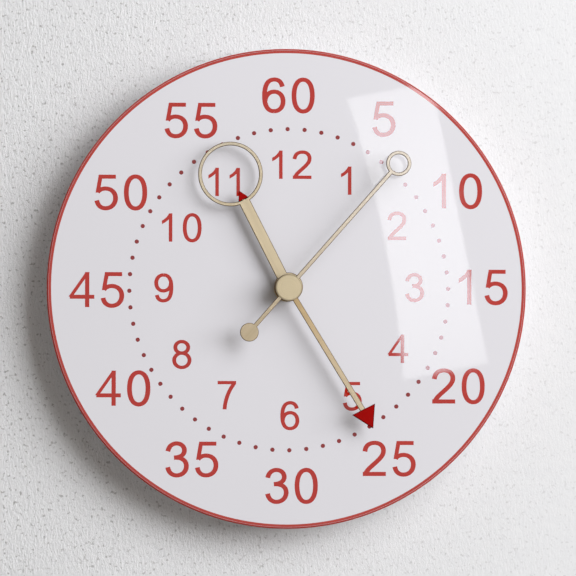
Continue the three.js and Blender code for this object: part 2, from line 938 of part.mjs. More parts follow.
// Stator plate: a bar with an eye round the rotor, and an ear at each end up to the coil
function statorPlate() {
  const earTop = coilHeight + coreWidth / 2;
  const barBottom = rotorPlace.y + statorBarRise;
  const left = rotorPlace.x - statorHalfLength;
  const right = rotorPlace.x + statorHalfLength;
  const plate = join(
    block(left, right, barBottom, barBottom + statorBarWidth, statorBack, statorFront),
    rod(statorEyeRadius, statorBack, statorFront, rotorPlace, 32),
    block(left, left + statorEarWidth, barBottom, earTop, statorBack, statorFront),
    block(right - statorEarWidth, right, barBottom, earTop, statorBack, statorFront),
  );
  const eye = rod(
    rotorMagnetRadius + 2 * runningClearance,
    statorBack - cutOverrun,
    statorFront + cutOverrun,
    rotorPlace,
    24,
  );
  const pinHoles = statorPostPlaces.map((place) =>
    rod(
      pillarPinRadius + seatClearance,
      statorBack - cutOverrun,
      statorFront + cutOverrun,
      place,
      8,
    ),
  );
  return piece("stator_plate", cut(plate, eye, ...pinHoles), finishes.steel);
}

// Coil: core across the ears of the stator, bobbin on the core and winding on the bobbin
function coil() {
  const coreFront = statorFront + statorThickness;
  const axisHeight = (statorFront + coreFront) / 2;
  const left = rotorPlace.x - statorHalfLength;
  const right = rotorPlace.x + statorHalfLength;
  const bobbinLeft = left + statorEarWidth + seatClearance;
  const bobbinRight = right - statorEarWidth - seatClearance;
  const windingLeft = bobbinLeft + bobbinFlangeThickness + windingClearance;
  const windingRight = bobbinRight - bobbinFlangeThickness - windingClearance;
  const flangeLeft = bobbinLeft + bobbinFlangeThickness;
  const flangeRight = bobbinRight - bobbinFlangeThickness;
  const alongBar = (profile) => {
    const points = profile.map(([radius, x]) => new THREE.Vector2(radius, x));
    if (points[0].x !== 0) points.push(points[0].clone());
    const geometry = new THREE.LatheGeometry(points, 16);
    geometry.rotateZ(-Math.PI / 2);
    return solidOf(geometry.translate(0, coilHeight, axisHeight));
  };
  const core = block(
    left,
    right,
    coilHeight - coreWidth / 2,
    coilHeight + coreWidth / 2,
    statorFront,
    coreFront,
  );
  const spool = alongBar([
    [0, bobbinLeft],
    [bobbinFlangeRadius, bobbinLeft],
    [bobbinFlangeRadius, flangeLeft],
    [bobbinTubeRadius, flangeLeft],
    [bobbinTubeRadius, flangeRight],
    [bobbinFlangeRadius, flangeRight],
    [bobbinFlangeRadius, bobbinRight],
    [0, bobbinRight],
  ]);
  const coreSlot = block(
    bobbinLeft - cutOverrun,
    bobbinRight + cutOverrun,
    coilHeight - coreWidth / 2 - seatClearance,
    coilHeight + coreWidth / 2 + seatClearance,
    statorFront - seatClearance,
    coreFront + seatClearance,
  );
  const winding = alongBar([
    [bobbinTubeRadius + windingClearance, windingLeft],
    [windingRadius, windingLeft],
    [windingRadius, windingRight],
    [bobbinTubeRadius + windingClearance, windingRight],
  ]);
  return [
    piece("coil_core", core, finishes.steel),
    piece("coil_bobbin", cut(spool, coreSlot), finishes.blackPlastic),
    piece("coil_winding", winding, finishes.copper),
  ];
}

// Movement case: open at the back, with a bay for the cell and posts for what it carries
function movementCase() {
  const innerCorner = caseCornerRadius - caseWall;
  const partitionTop = bayTop + bayWall;
  const outline = roundedRectangle(
    -caseHalfWidth,
    caseHalfWidth,
    -caseHalfHeight,
    caseHalfHeight,
    caseCornerRadius,
  );
  const train = roundedRectangle(
    -innerHalfWidth,
    innerHalfWidth,
    partitionTop,
    innerHalfHeight,
    innerCorner,
  );
  const bay = roundedRectangle(-innerHalfWidth, innerHalfWidth, -innerHalfHeight, bayTop, innerCorner);
  const rebate = roundedRectangle(
    -innerHalfWidth - coverLedge,
    innerHalfWidth + coverLedge,
    partitionTop - coverLedge,
    innerHalfHeight + coverLedge,
    innerCorner,
  );
  const walls = cut(
    slab(outline, 0, caseDepth),
    slab(train, -cutOverrun, caseInnerFront),
    slab(bay, -cutOverrun, caseInnerFront),
    slab(rebate, -cutOverrun, coverThickness),
  );
  const contactReach = bridgeHeight + contactStripWidth + seatClearance;
  const contactNotches = [-1, 1].map((side) => {
    const x = side * (innerHalfWidth - contactSpace / 2);
    return block(
      x - contactSpace / 2,
      x + contactSpace / 2,
      bayTop - cutOverrun,
      partitionTop + cutOverrun,
      -cutOverrun,
      contactReach,
    );
  });
  const notchGeometry = new THREE.CylinderGeometry(
    fingerNotchRadius,
    fingerNotchRadius,
    caseWall + 2 * cutOverrun,
    24,
  );
  const fingerNotch = solidOf(notchGeometry.translate(0, -innerHalfHeight - caseWall / 2, 0));
  const tongueSlots = [-1, 1].map((side) => earTongue(side, seatClearance));
  const pivots = [thirdPlace, intermediatePlace, rotorPlace];
  const pivotHoles = pivots.map((place) =>
    rod(
      arborRadius + runningClearance,
      caseInnerFront - cutOverrun,
      caseInnerFront + pivotHoleDepth,
      place,
      8,
    ),
  );
  const knobHole = rod(
    knobPivotRadius + runningClearance,
    caseInnerFront - cutOverrun,
    caseInnerFront + pivotHoleDepth,
    knobPlace,
    16,
  );
  const bushingHole = rod(
    bushingRadius + threadClearance,
    caseInnerFront - cutOverrun,
    caseDepth + cutOverrun,
    spindlePlace,
    24,
  );
  const posts = [
    ...pillarPlaces.flatMap((place) => shoulderedPost(place, pillarRadius, bridgeFront, bridgeThickness)),
    ...boardPostPlaces.flatMap((place) =>
      shoulderedPost(place, smallPostRadius, bridgeHeight + boardThickness, boardThickness),
    ),
    ...statorPostPlaces.flatMap((place) =>
      shoulderedPost(place, smallPostRadius, statorFront, statorThickness),
    ),
    rod(motionPostRadius, motionWheelBack - pinionOverlap, caseInnerFront + pivotHoleDepth, motionPlace),
  ];
  const body = cut(
    walls,
    bushingHole,
    knobHole,
    fingerNotch,
    ...pivotHoles,
    ...contactNotches,
    ...tongueSlots,
  );
  return piece("movement_case", join(body, ...posts), finishes.blackPlastic);
}

// A post from the case front down to a shoulder, with a pin through the plate that rests on it
function shoulderedPost(place, radius, shoulder, plateThickness) {
  const pinEnd = shoulder - plateThickness - pinStandOut;
  return [
    rod(radius, shoulder, caseInnerFront + pivotHoleDepth, place, 10),
    rod(pillarPinRadius, pinEnd, shoulder + pivotHoleDepth, place, 8),
  ];
}

// Rear cover over the gear train, with a round opening for the setting knob
function rearCover() {
  const overlap = coverLedge - seatClearance;
  const outline = roundedRectangle(
    -innerHalfWidth - overlap,
    innerHalfWidth + overlap,
    bayTop + bayWall - overlap,
    innerHalfHeight + overlap,
    caseCornerRadius - caseWall,
  );
  const knobHole = rod(
    knobOpeningRadius,
    -cutOverrun,
    coverThickness + cutOverrun,
    knobPlace,
    32,
  );
  return piece(
    "rear_cover",
    cut(slab(outline, 0, coverThickness), knobHole),
    finishes.blackPlastic,
  );
}

// Train bridge: the plate on four pillars that holds the rear pivots
function trainBridge() {
  const left = -innerHalfWidth + bridgeInset;
  const right = innerHalfWidth - boardSideGap;
  const bottom = -trainReach + 2 * seatClearance;
  const top = boardBottom - 2 * seatClearance;
  const outline = roundedRectangle(left, right, bottom, top, pillarRadius);
  const hole = (radius, place) =>
    rod(radius, bridgeHeight - cutOverrun, bridgeFront + cutOverrun, place, 8);
  const pivotRadius = arborRadius + runningClearance;
  const pivots = [spindlePlace, thirdPlace, intermediatePlace, rotorPlace];
  const holes = [
    ...pivots.map((place) => hole(pivotRadius, place)),
    ...pillarPlaces.map((place) => hole(pillarPinRadius + seatClearance, place)),
    hole(knobArborRadius + runningClearance, knobPlace),
  ];
  return piece(
    "train_bridge",
    cut(slab(outline, bridgeHeight, bridgeFront), ...holes),
    finishes.whitePlastic,
  );
}

// Circuit board with the crystal and the chip on its front
function circuitBoard() {
  const boardFront = bridgeHeight + boardThickness;
  const middle = (boardTop + boardBottom) / 2;
  const outline = roundedRectangle(-boardHalf, boardHalf, boardBottom, boardTop, pillarPinRadius);
  const holes = boardPostPlaces.map((place) =>
    rod(
      pillarPinRadius + seatClearance,
      bridgeHeight - cutOverrun,
      boardFront + cutOverrun,
      place,
      8,
    ),
  );
  const canGeometry = new THREE.CylinderGeometry(crystalRadius, crystalRadius, crystalLength, 12);
  canGeometry.rotateZ(Math.PI / 2);
  const canHeight = boardFront + crystalRadius + windingClearance;
  const can = solidOf(canGeometry.translate(crystalPlace, middle, canHeight));
  const leadStart = crystalPlace + crystalLength / 2 - crystalLeadLength / 2;
  const leads = [-1, 1].map((side) => {
    const y = middle + (side * crystalRadius) / 2;
    return block(
      leadStart,
      leadStart + 2 * crystalLeadLength,
      y - crystalLeadWidth / 2,
      y + crystalLeadWidth / 2,
      boardFront,
      canHeight,
    );
  });
  const chipGeometry = new THREE.SphereGeometry(chipRadius, 14, 8);
  chipGeometry.rotateX(Math.PI / 2);
  const sink = chipRadius - chipHeight;
  const ball = solidOf(chipGeometry.translate(chipPlace, middle, boardFront - sink));
  const below = block(
    chipPlace - 2 * chipRadius,
    chipPlace + 2 * chipRadius,
    middle - 2 * chipRadius,
    middle + 2 * chipRadius,
    boardFront - 2 * chipRadius,
    boardFront,
  );
  return [
    piece("circuit_board", cut(slab(outline, bridgeHeight, boardFront), ...holes), finishes.board),
    piece("quartz_crystal", join(can, ...leads), finishes.steel),
    piece("chip_drop", cut(ball, below), finishes.epoxy),
  ];
}

// A battery contact: a plate in the bay, a strip up the side wall and a tab on the board.
// The negative one also has a bent leaf that presses on the base of the cell.
function batteryContact(name, side, hasLeaf) {
  const outer = side * (innerHalfWidth - seatClearance);
  const inner = outer - side * contactThickness;
  const x0 = Math.min(outer, inner);
  const x1 = Math.max(outer, inner);
  const plateBack = cellRecess + (cellDiameter - contactPlateDepth) / 2;
  const plateTop = bayMiddle + contactPlateLength / 2;
  const stripBack = bridgeHeight - contactThickness;
  const stripFront = stripBack + contactStripWidth;
  const tabTop = boardBottom + seatClearance + contactTabWidth;
  const tabEnd = outer - side * contactTabLength;
  const bodies = [
    block(
      x0,
      x1,
      bayMiddle - contactPlateLength / 2,
      plateTop,
      plateBack,
      plateBack + contactPlateDepth,
    ),
    block(x0, x1, plateTop - contactStripWidth, tabTop, stripBack, stripFront),
    block(
      Math.min(outer, tabEnd),
      Math.max(outer, tabEnd),
      boardBottom + seatClearance,
      tabTop,
      stripBack,
      bridgeHeight,
    ),
  ];
  if (hasLeaf) {
    const middle = cellRecess + cellDiameter / 2;
    const bend = new THREE.Shape([
      new THREE.Vector2(outer, bayMiddle - leafLength / 2),
      new THREE.Vector2(inner, bayMiddle - leafLength / 2),
      new THREE.Vector2(inner - side * leafReach, bayMiddle),
      new THREE.Vector2(inner, bayMiddle + leafLength / 2),
      new THREE.Vector2(outer, bayMiddle + leafLength / 2),
    ]);
    bodies.push(slab(bend, middle - leafDepth / 2, middle + leafDepth / 2));
  }
  return piece(name, join(...bodies), finishes.steel);
}

// Dry cell lying across the bay, its nub towards the positive contact
function dryCell() {
  const height = cellRecess + cellDiameter / 2;
  const radius = cellDiameter / 2;
  const nubEnd = innerHalfWidth - contactSpace;
  const shoulder = nubEnd - cellNubLength;
  const base = nubEnd - cellLength;
  const profile = [
    [0, base],
    ...arc(radius - cellEdgeRadius, base + cellEdgeRadius, cellEdgeRadius, -Math.PI / 2, 0, 2),
    ...arc(radius - cellEdgeRadius, shoulder - cellEdgeRadius, cellEdgeRadius, 0, Math.PI / 2, 2),
    [cellNubRadius, shoulder],
    [cellNubRadius, nubEnd],
    [0, nubEnd],
  ];
  const points = profile.map(([r, x]) => new THREE.Vector2(r, x));
  const geometry = new THREE.LatheGeometry(points, 28);
  geometry.rotateZ(-Math.PI / 2);
  const solid = solidOf(geometry.translate(0, bayMiddle, height));
  return piece("dry_cell", solid, finishes.cellSleeve);
}

// One of the two tongues that hold the hanger ear in the top wall of the case
function earTongue(side, clearance) {
  const middle = (side * earTongueSpacing) / 2;
  const half = earTongueWidth / 2 + clearance;
  const back = (earThickness - earTongueThickness) / 2 - clearance;
  const front = back + earTongueThickness + 2 * clearance;
  return block(
    middle - half,
    middle + half,
    innerHalfHeight + coverLedge - clearance,
    caseHalfHeight + clearance,
    back,
    front,
  );
}

// Hanger ear: a plate over the top wall with an eye for the nail and a slot that it drops into
function hangerEar() {
  const outline = roundedRectangle(
    -earWidth / 2,
    earWidth / 2,
    caseHalfHeight,
    caseHalfHeight + earHeight,
    caseCornerRadius,
  );
  const eyePlace = new THREE.Vector2(0, caseHalfHeight + earEyeHeight);
  const slotPlace = new THREE.Vector2(0, eyePlace.y + earSlotRise);
  const through = (radius, place) =>
    rod(radius, -cutOverrun, earThickness + cutOverrun, place, 20);
  const slot = block(
    -earSlotRadius,
    earSlotRadius,
    eyePlace.y,
    slotPlace.y,
    -cutOverrun,
    earThickness + cutOverrun,
  );
  const plate = cut(
    slab(outline, 0, earThickness),
    through(earEyeRadius, eyePlace),
    through(earSlotRadius, slotPlace),
    slot,
  );
  return piece("hanger_ear", join(plate, earTongue(-1, 0), earTongue(1, 0)), finishes.blackPlastic);
}

const clock = new THREE.Group();
clock.add(
  dialDisc(),
  ...dialFixing(),
  threadedBushing(),
  hourHand(),
  minuteHand(),
  secondHand(),
  ...handFastenings(),
  secondArbor(),
  secondWheel(),
  ...trainWheels(),
  centreWheel(),
  cannonPinion(),
  motionWheel(),
  hourWheel(),
  settingKnob(),
  ...rotor(),
  statorPlate(),
  ...coil(),
  movementCase(),
  rearCover(),
  trainBridge(),
  ...circuitBoard(),
  batteryContact("positive_contact", 1, false),
  batteryContact("negative_contact", -1, true),
  dryCell(),
  hangerEar(),
);
clock.rotation.x = Math.PI / 2;

export default clock;
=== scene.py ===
"""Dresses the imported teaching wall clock: printed dial, brass hands, quartz movement, studio and camera.

Lengths are millimetres on the clock as it is seen face on (x to the right, y up, height above the wall),
until stand() sets them in the shared frame in metres.
"""

import json
import logging
import math
from dataclasses import dataclass, fields
from enum import Enum

import bmesh
import bpy
import numpy as np
from mathutils import Matrix
from mathutils.geometry import tessellate_polygon

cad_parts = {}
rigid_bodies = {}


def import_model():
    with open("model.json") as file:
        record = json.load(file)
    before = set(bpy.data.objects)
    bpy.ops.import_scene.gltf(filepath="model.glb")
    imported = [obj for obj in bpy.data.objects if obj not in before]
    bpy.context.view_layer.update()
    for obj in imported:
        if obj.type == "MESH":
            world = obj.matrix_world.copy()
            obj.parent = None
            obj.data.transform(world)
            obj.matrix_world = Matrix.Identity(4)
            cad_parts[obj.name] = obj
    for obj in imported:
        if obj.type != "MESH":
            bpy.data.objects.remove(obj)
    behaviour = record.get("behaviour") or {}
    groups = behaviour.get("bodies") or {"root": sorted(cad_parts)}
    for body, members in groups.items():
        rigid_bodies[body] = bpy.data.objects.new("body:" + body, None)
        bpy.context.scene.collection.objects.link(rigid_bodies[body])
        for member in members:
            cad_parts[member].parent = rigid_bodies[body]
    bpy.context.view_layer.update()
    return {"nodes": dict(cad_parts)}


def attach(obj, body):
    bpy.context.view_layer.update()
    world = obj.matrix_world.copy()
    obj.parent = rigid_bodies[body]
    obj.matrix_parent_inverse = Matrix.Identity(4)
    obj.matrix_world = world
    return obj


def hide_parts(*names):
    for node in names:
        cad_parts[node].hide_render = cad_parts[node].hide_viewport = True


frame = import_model()
LOG = logging.getLogger("wall_clock")

Colour = tuple[float, float, float]
Corner = tuple[float, float, float]

MILLIMETRE = 0.001
FULL_TURN = 2 * math.pi
MINUTES = 60

# Points of a new mesh and of a copied CAD node that lie within these metres become one.
MERGE_DISTANCE = 1e-7
CAD_MERGE_DISTANCE = 1e-6

# A CAD node's faces that meet at less than the first angle are joined, and beyond the second their edge
# is eased.
FLAT_WITHIN = math.radians(1)
EDGE_ABOVE = math.radians(40)

# Where the flat face starts inside a rounding, in its radii, for a stamped plate and for the dial.
PLATE_LAND = 1.3
DIAL_LAND = 1.15


def stand(x: np.ndarray, y: np.ndarray, height: np.ndarray) -> np.ndarray:
    """Sets face-on points in the shared frame.

    Formula: x stays, the height above the wall becomes minus Y, and y becomes Z, all times a thousandth.

    Args:
        x: millimetres to the right of the spindle axis.
        y: millimetres above it.
        height: millimetres in front of the wall.

    Returns:
        Points in metres, one row of three numbers each.
    """
    x, y, height = np.broadcast_arrays(x, y, height)
    return np.stack((x, -height, y), axis=-1) * MILLIMETRE


def linear(red: int, green: int, blue: int) -> Colour:
    """Turns a colour of 0 to 255 steps into linear light by the sRGB curve.

    Args:
        red: red step.
        green: green step.
        blue: blue step.

    Returns:
        The same colour as three linear numbers.
    """
    share = np.array([red, green, blue]) / 255
    low = share / 12.92
    high = ((share + 0.055) / 1.055) ** 2.4
    return tuple(float(value) for value in np.where(share <= 0.04045, low, high))


def turned_about(points: np.ndarray, clockwise: float) -> np.ndarray:
    """Turns face-on points about the spindle.

    Formula: with a the clockwise angle, x' = x cos a + y sin a and y' = y cos a - x sin a.

    Args:
        points: rows of x and y.
        clockwise: degrees from twelve o'clock.

    Returns:
        The turned rows.
    """
    angle = math.radians(clockwise)
    turn = np.array([[math.cos(angle), -math.sin(angle)], [math.sin(angle), math.cos(angle)]])
    return points @ turn


def arc(centre: tuple[float, float], radius: float, start: float, end: float, steps: int) -> np.ndarray:
    """Points of a circle: centre plus radius times (cos t, sin t), t running evenly between two angles.

    Args:
        centre: x and y of the circle's centre.
        radius: its radius.
        start: first angle in radians.
        end: last angle in radians.
        steps: number of even steps between them.

    Returns:
        Rows of x and y.
    """
    angle = np.linspace(start, end, steps + 1)
    return np.stack((centre[0] + radius * np.cos(angle), centre[1] + radius * np.sin(angle)), axis=1)


def hole(centre: tuple[float, float], radius: float, steps: int) -> np.ndarray:
    """A closed circle that bounds a hole, so it runs clockwise.

    Args:
        centre: x and y of its centre.
        radius: its radius.
        steps: number of points.

    Returns:
        Rows of x and y, the first point not repeated.
    """
    return arc(centre, radius, 0, FULL_TURN, steps)[:-1][::-1]


def open_circle(
    centre: tuple[float, float], radius: float, half: float, steps: int, above: bool = False
) -> np.ndarray:
    """A circle, left open where a bar along x = 0 runs into it from below, or else from above.

    Formula: it runs counter-clockwise between the two points where x is half the bar's width, at angles
    of plus or minus acos((x - centre) / radius).

    Args:
        centre: x and y of the circle's centre.
        radius: its radius.
        half: half the bar's width.
        steps: number of even steps round it.
        above: True where the bar comes from above.

    Returns:
        Rows of x and y.
    """
    left, right = (math.acos((side * half - centre[0]) / radius) for side in (-1, 1))
    start, end = (left, right) if above else (-right, -left)
    return arc(centre, radius, start, FULL_TURN + end, steps)


def rounded(corners: list[Corner], closed: bool = True, steps: int = 5) -> np.ndarray:
    """Rounds the corners of an outline with true circular arcs.

    Formula: the arc meets each side at radius times tan(half the change of direction) from the corner P.
    Between those points A and B it is the rational curve (A(1-t)^2 + 2wPt(1-t) + Bt^2) over the sum of
    the weights, with w the cosine of half the change of direction.

    Args:
        corners: x, y and rounding radius of each corner, 0 for a sharp one.
        closed: True where the last corner leads back to the first.
        steps: number of steps on each arc.

    Returns:
        Rows of x and y.
    """
    places = np.array([corner[:2] for corner in corners], dtype=float)
    pieces = []
    for index, (x, y, radius) in enumerate(corners):
        here = np.array([x, y])
        at_end = not closed and index in (0, len(corners) - 1)
        if radius <= 0 or at_end:
            pieces.append(here[None])
            continue
        before = here - places[index - 1]
        after = places[(index + 1) % len(corners)] - here
        before /= np.linalg.norm(before)
        after /= np.linalg.norm(after)
        half = math.acos(float(np.clip(before @ after, -1, 1))) / 2
        reach = radius * math.tan(half)
        first, last = here - reach * before, here + reach * after
        share = np.linspace(0, 1, steps + 1)[:, None]
        weight = math.cos(half)
        weights = ((1 - share) ** 2, 2 * weight * share * (1 - share), share**2)
        total = weights[0] + weights[1] + weights[2]
        pieces.append((weights[0] * first + weights[1] * here + weights[2] * last) / total)
    return np.concatenate(pieces)


def inset(outline: np.ndarray, distance: float) -> np.ndarray:
    """Moves a closed outline to its left, into the material.

    Formula: each point moves by the distance along (m + n) / (1 + m.n), with m and n the left-hand
    normals of the two sides that meet there.

    Args:
        outline: rows of x and y, with the material on the left of its direction.
        distance: how far it moves.

    Returns:
        The moved rows.
    """
    ahead = np.roll(outline, -1, axis=0) - outline
    ahead /= np.linalg.norm(ahead, axis=1, keepdims=True)
    normal = np.stack((-ahead[:, 1], ahead[:, 0]), axis=1)
    before = np.roll(normal, 1, axis=0)
    return outline + distance * (normal + before) / (1 + np.sum(normal * before, axis=1, keepdims=True))


class Mesher:
    """Gathers surfaces as whole arrays and puts them into one mesh."""

    def __init__(self) -> None:
        """Starts with no surface."""
        self.points: list[np.ndarray] = []
        self.faces: list[np.ndarray] = []
        self.count = 0

    def add(self, points: np.ndarray, faces: np.ndarray) -> None:
        """Adds points and the faces between them.

        Args:
            points: rows of x, y and z in metres.
            faces: rows of point numbers, counted from this block's first point.
        """
        self.points.append(points.reshape(-1, 3))
        self.faces.append(np.asarray(faces) + self.count)
        self.count += self.points[-1].shape[0]

    def grid(self, points: np.ndarray, around_u: bool = False, around_v: bool = False) -> None:
        """Adds a surface whose points lie on a grid of two parameters.

        Args:
            points: array of rows, columns and coordinates, in metres.
            around_u: True where the last row joins the first.
            around_v: True where the last column joins the first.
        """
        rows, columns = points.shape[:2]
        number = np.arange(rows * columns).reshape(rows, columns)
        if around_u:
            number = np.vstack((number, number[:1]))
        if around_v:
            number = np.hstack((number, number[:, :1]))
        corners = (number[:-1, :-1], number[1:, :-1], number[1:, 1:], number[:-1, 1:])
        self.add(points, np.stack(corners, axis=-1).reshape(-1, 4))

    def lathe(
        self,
        profile: np.ndarray,
        place: tuple[float, float] = (0.0, 0.0),
        segments: int = 96,
        ring: bool = False,
    ) -> None:
        """Turns a profile about an axis square to the wall.

        Formula: a profile point of radius r and height h becomes (r cos t, r sin t, h) for t round the axis.

        Args:
            profile: rows of radius and height.
            place: x and y of the axis.
            segments: number of steps round it.
            ring: True where the profile closes on itself.
        """
        angle = np.arange(segments) * FULL_TURN / segments
        radius, height = profile[:, :1], profile[:, 1:]
        points = stand(place[0] + radius * np.cos(angle), place[1] + radius * np.sin(angle), height)
        self.grid(points, around_u=ring, around_v=True)

    def cap(self, outlines: list[np.ndarray], height: float) -> None:
        """Fills flat outlines at one height, the first the outer one and the rest its holes.

        Args:
            outlines: rows of x and y of each outline.
            height: millimetres in front of the wall.
        """
        flat = [[(float(x), float(y), 0.0) for x, y in outline] for outline in outlines]
        triangles = np.array(tessellate_polygon(flat))
        joined = np.concatenate(outlines)
        self.add(stand(joined[:, 0], joined[:, 1], height), triangles)

    def plate(
        self, outlines: list[np.ndarray], back: float, front: float, edge: float, steps: int = 3
    ) -> None:
        """A flat plate with its front edges rounded, as a stamped and tumbled part has.

        Formula: at each point of the outline the section runs straight up, then round a quarter circle of
        radius edge, (edge(1 - cos t), front - edge + edge sin t), then inwards over a narrow flat land.

        Args:
            outlines: the outer outline counter-clockwise, then its holes clockwise.
            back: height of the back face.
            front: height of the front face.
            edge: radius of the rounded front edges.
            steps: number of steps round them.
        """
        turn = np.linspace(0, math.pi / 2, steps + 1)
        inwards = np.concatenate(([0.0], edge * (1 - np.cos(turn)), [edge * PLATE_LAND]))
        heights = np.concatenate(([back], front - edge + edge * np.sin(turn), [front]))
        for outline in outlines:
            rows = np.stack([inset(outline, distance) for distance in inwards])
            self.grid(stand(rows[..., 0], rows[..., 1], heights[:, None]), around_v=True)
        self.cap([inset(outline, inwards[-1]) for outline in outlines], front)
        self.cap(outlines, back)

    def build(self, name: str, smooth: float = 32.0, closed: bool = True) -> bpy.types.Object:
        """Makes the object, with its doubles merged, its faces outwards and its sharp edges marked.

        Args:
            name: the object's name.
            smooth: largest angle in degrees that is shaded smooth.
            closed: False for an open sheet, whose faces keep the way that they were given.

        Returns:
            The new object, linked to the scene.
        """
        mesh = bpy.data.meshes.new(name)
        faces = [face for block in self.faces for face in block.tolist()]
        mesh.from_pydata(np.concatenate(self.points).tolist(), [], faces)
        work = bmesh.new()
        work.from_mesh(mesh)
        bmesh.ops.remove_doubles(work, verts=work.verts, dist=MERGE_DISTANCE)
        if closed:
            bmesh.ops.recalc_face_normals(work, faces=work.faces)
        open_edges = sum(not edge.is_manifold for edge in work.edges)
        work.to_mesh(mesh)
        work.free()
        mesh.shade_smooth()
        mesh.set_sharp_from_angle(angle=math.radians(smooth))
        piece = bpy.data.objects.new(name, mesh)
        bpy.context.scene.collection.objects.link(piece)
        LOG.info("%s: %d faces, %d open edges", name, len(mesh.polygons), open_edges)
        return piece


def stamped(
    name: str, outlines: list[np.ndarray], clockwise: float, heights: tuple[float, float], edge: float
) -> bpy.types.Object:
    """Stamps a plate and turns it to where its hand points.

    Args:
        name: the piece's name.
        outlines: its outer outline counter-clockwise, then its holes clockwise, with the hand pointing up.
        clockwise: degrees from twelve o'clock.
        heights: heights of its back and front face.
        edge: radius of its rounded front edges.

    Returns:
        The plate.
    """
    mesher = Mesher()
    mesher.plate([turned_about(outline, clockwise) for outline in outlines], *heights, edge)
    return mesher.build(name)


def softened_copy(node: str, edge: float, segments: int = 2) -> bpy.types.Object:
    """Copies a CAD node and rounds its edges.

    Args:
        node: name of the CAD node.
        edge: width of the rounding in millimetres.
        segments: number of steps round each edge.

    Returns:
        The new object, with its doubles merged, its flat faces joined and a live Bevel modifier.
    """
    piece = bpy.data.objects.new(f"{node}_dressed", frame["nodes"][node].data.copy())
    piece.data.materials.clear()
    bpy.context.scene.collection.objects.link(piece)
    work = bmesh.new()
    work.from_mesh(piece.data)
    bmesh.ops.remove_doubles(work, verts=work.verts, dist=CAD_MERGE_DISTANCE)
    bmesh.ops.dissolve_limit(work, angle_limit=FLAT_WITHIN, verts=work.verts, edges=work.edges)
    work.to_mesh(piece.data)
    work.free()
    bevel = piece.modifiers.new("edge_rounding", "BEVEL")
    bevel.width = edge * MILLIMETRE
    bevel.segments = segments
    bevel.limit_method = "ANGLE"
    bevel.angle_limit = EDGE_ABOVE
    bevel.use_clamp_overlap = True
    piece.data.shade_smooth()
    piece.data.set_sharp_from_angle(angle=EDGE_ABOVE)
    return piece


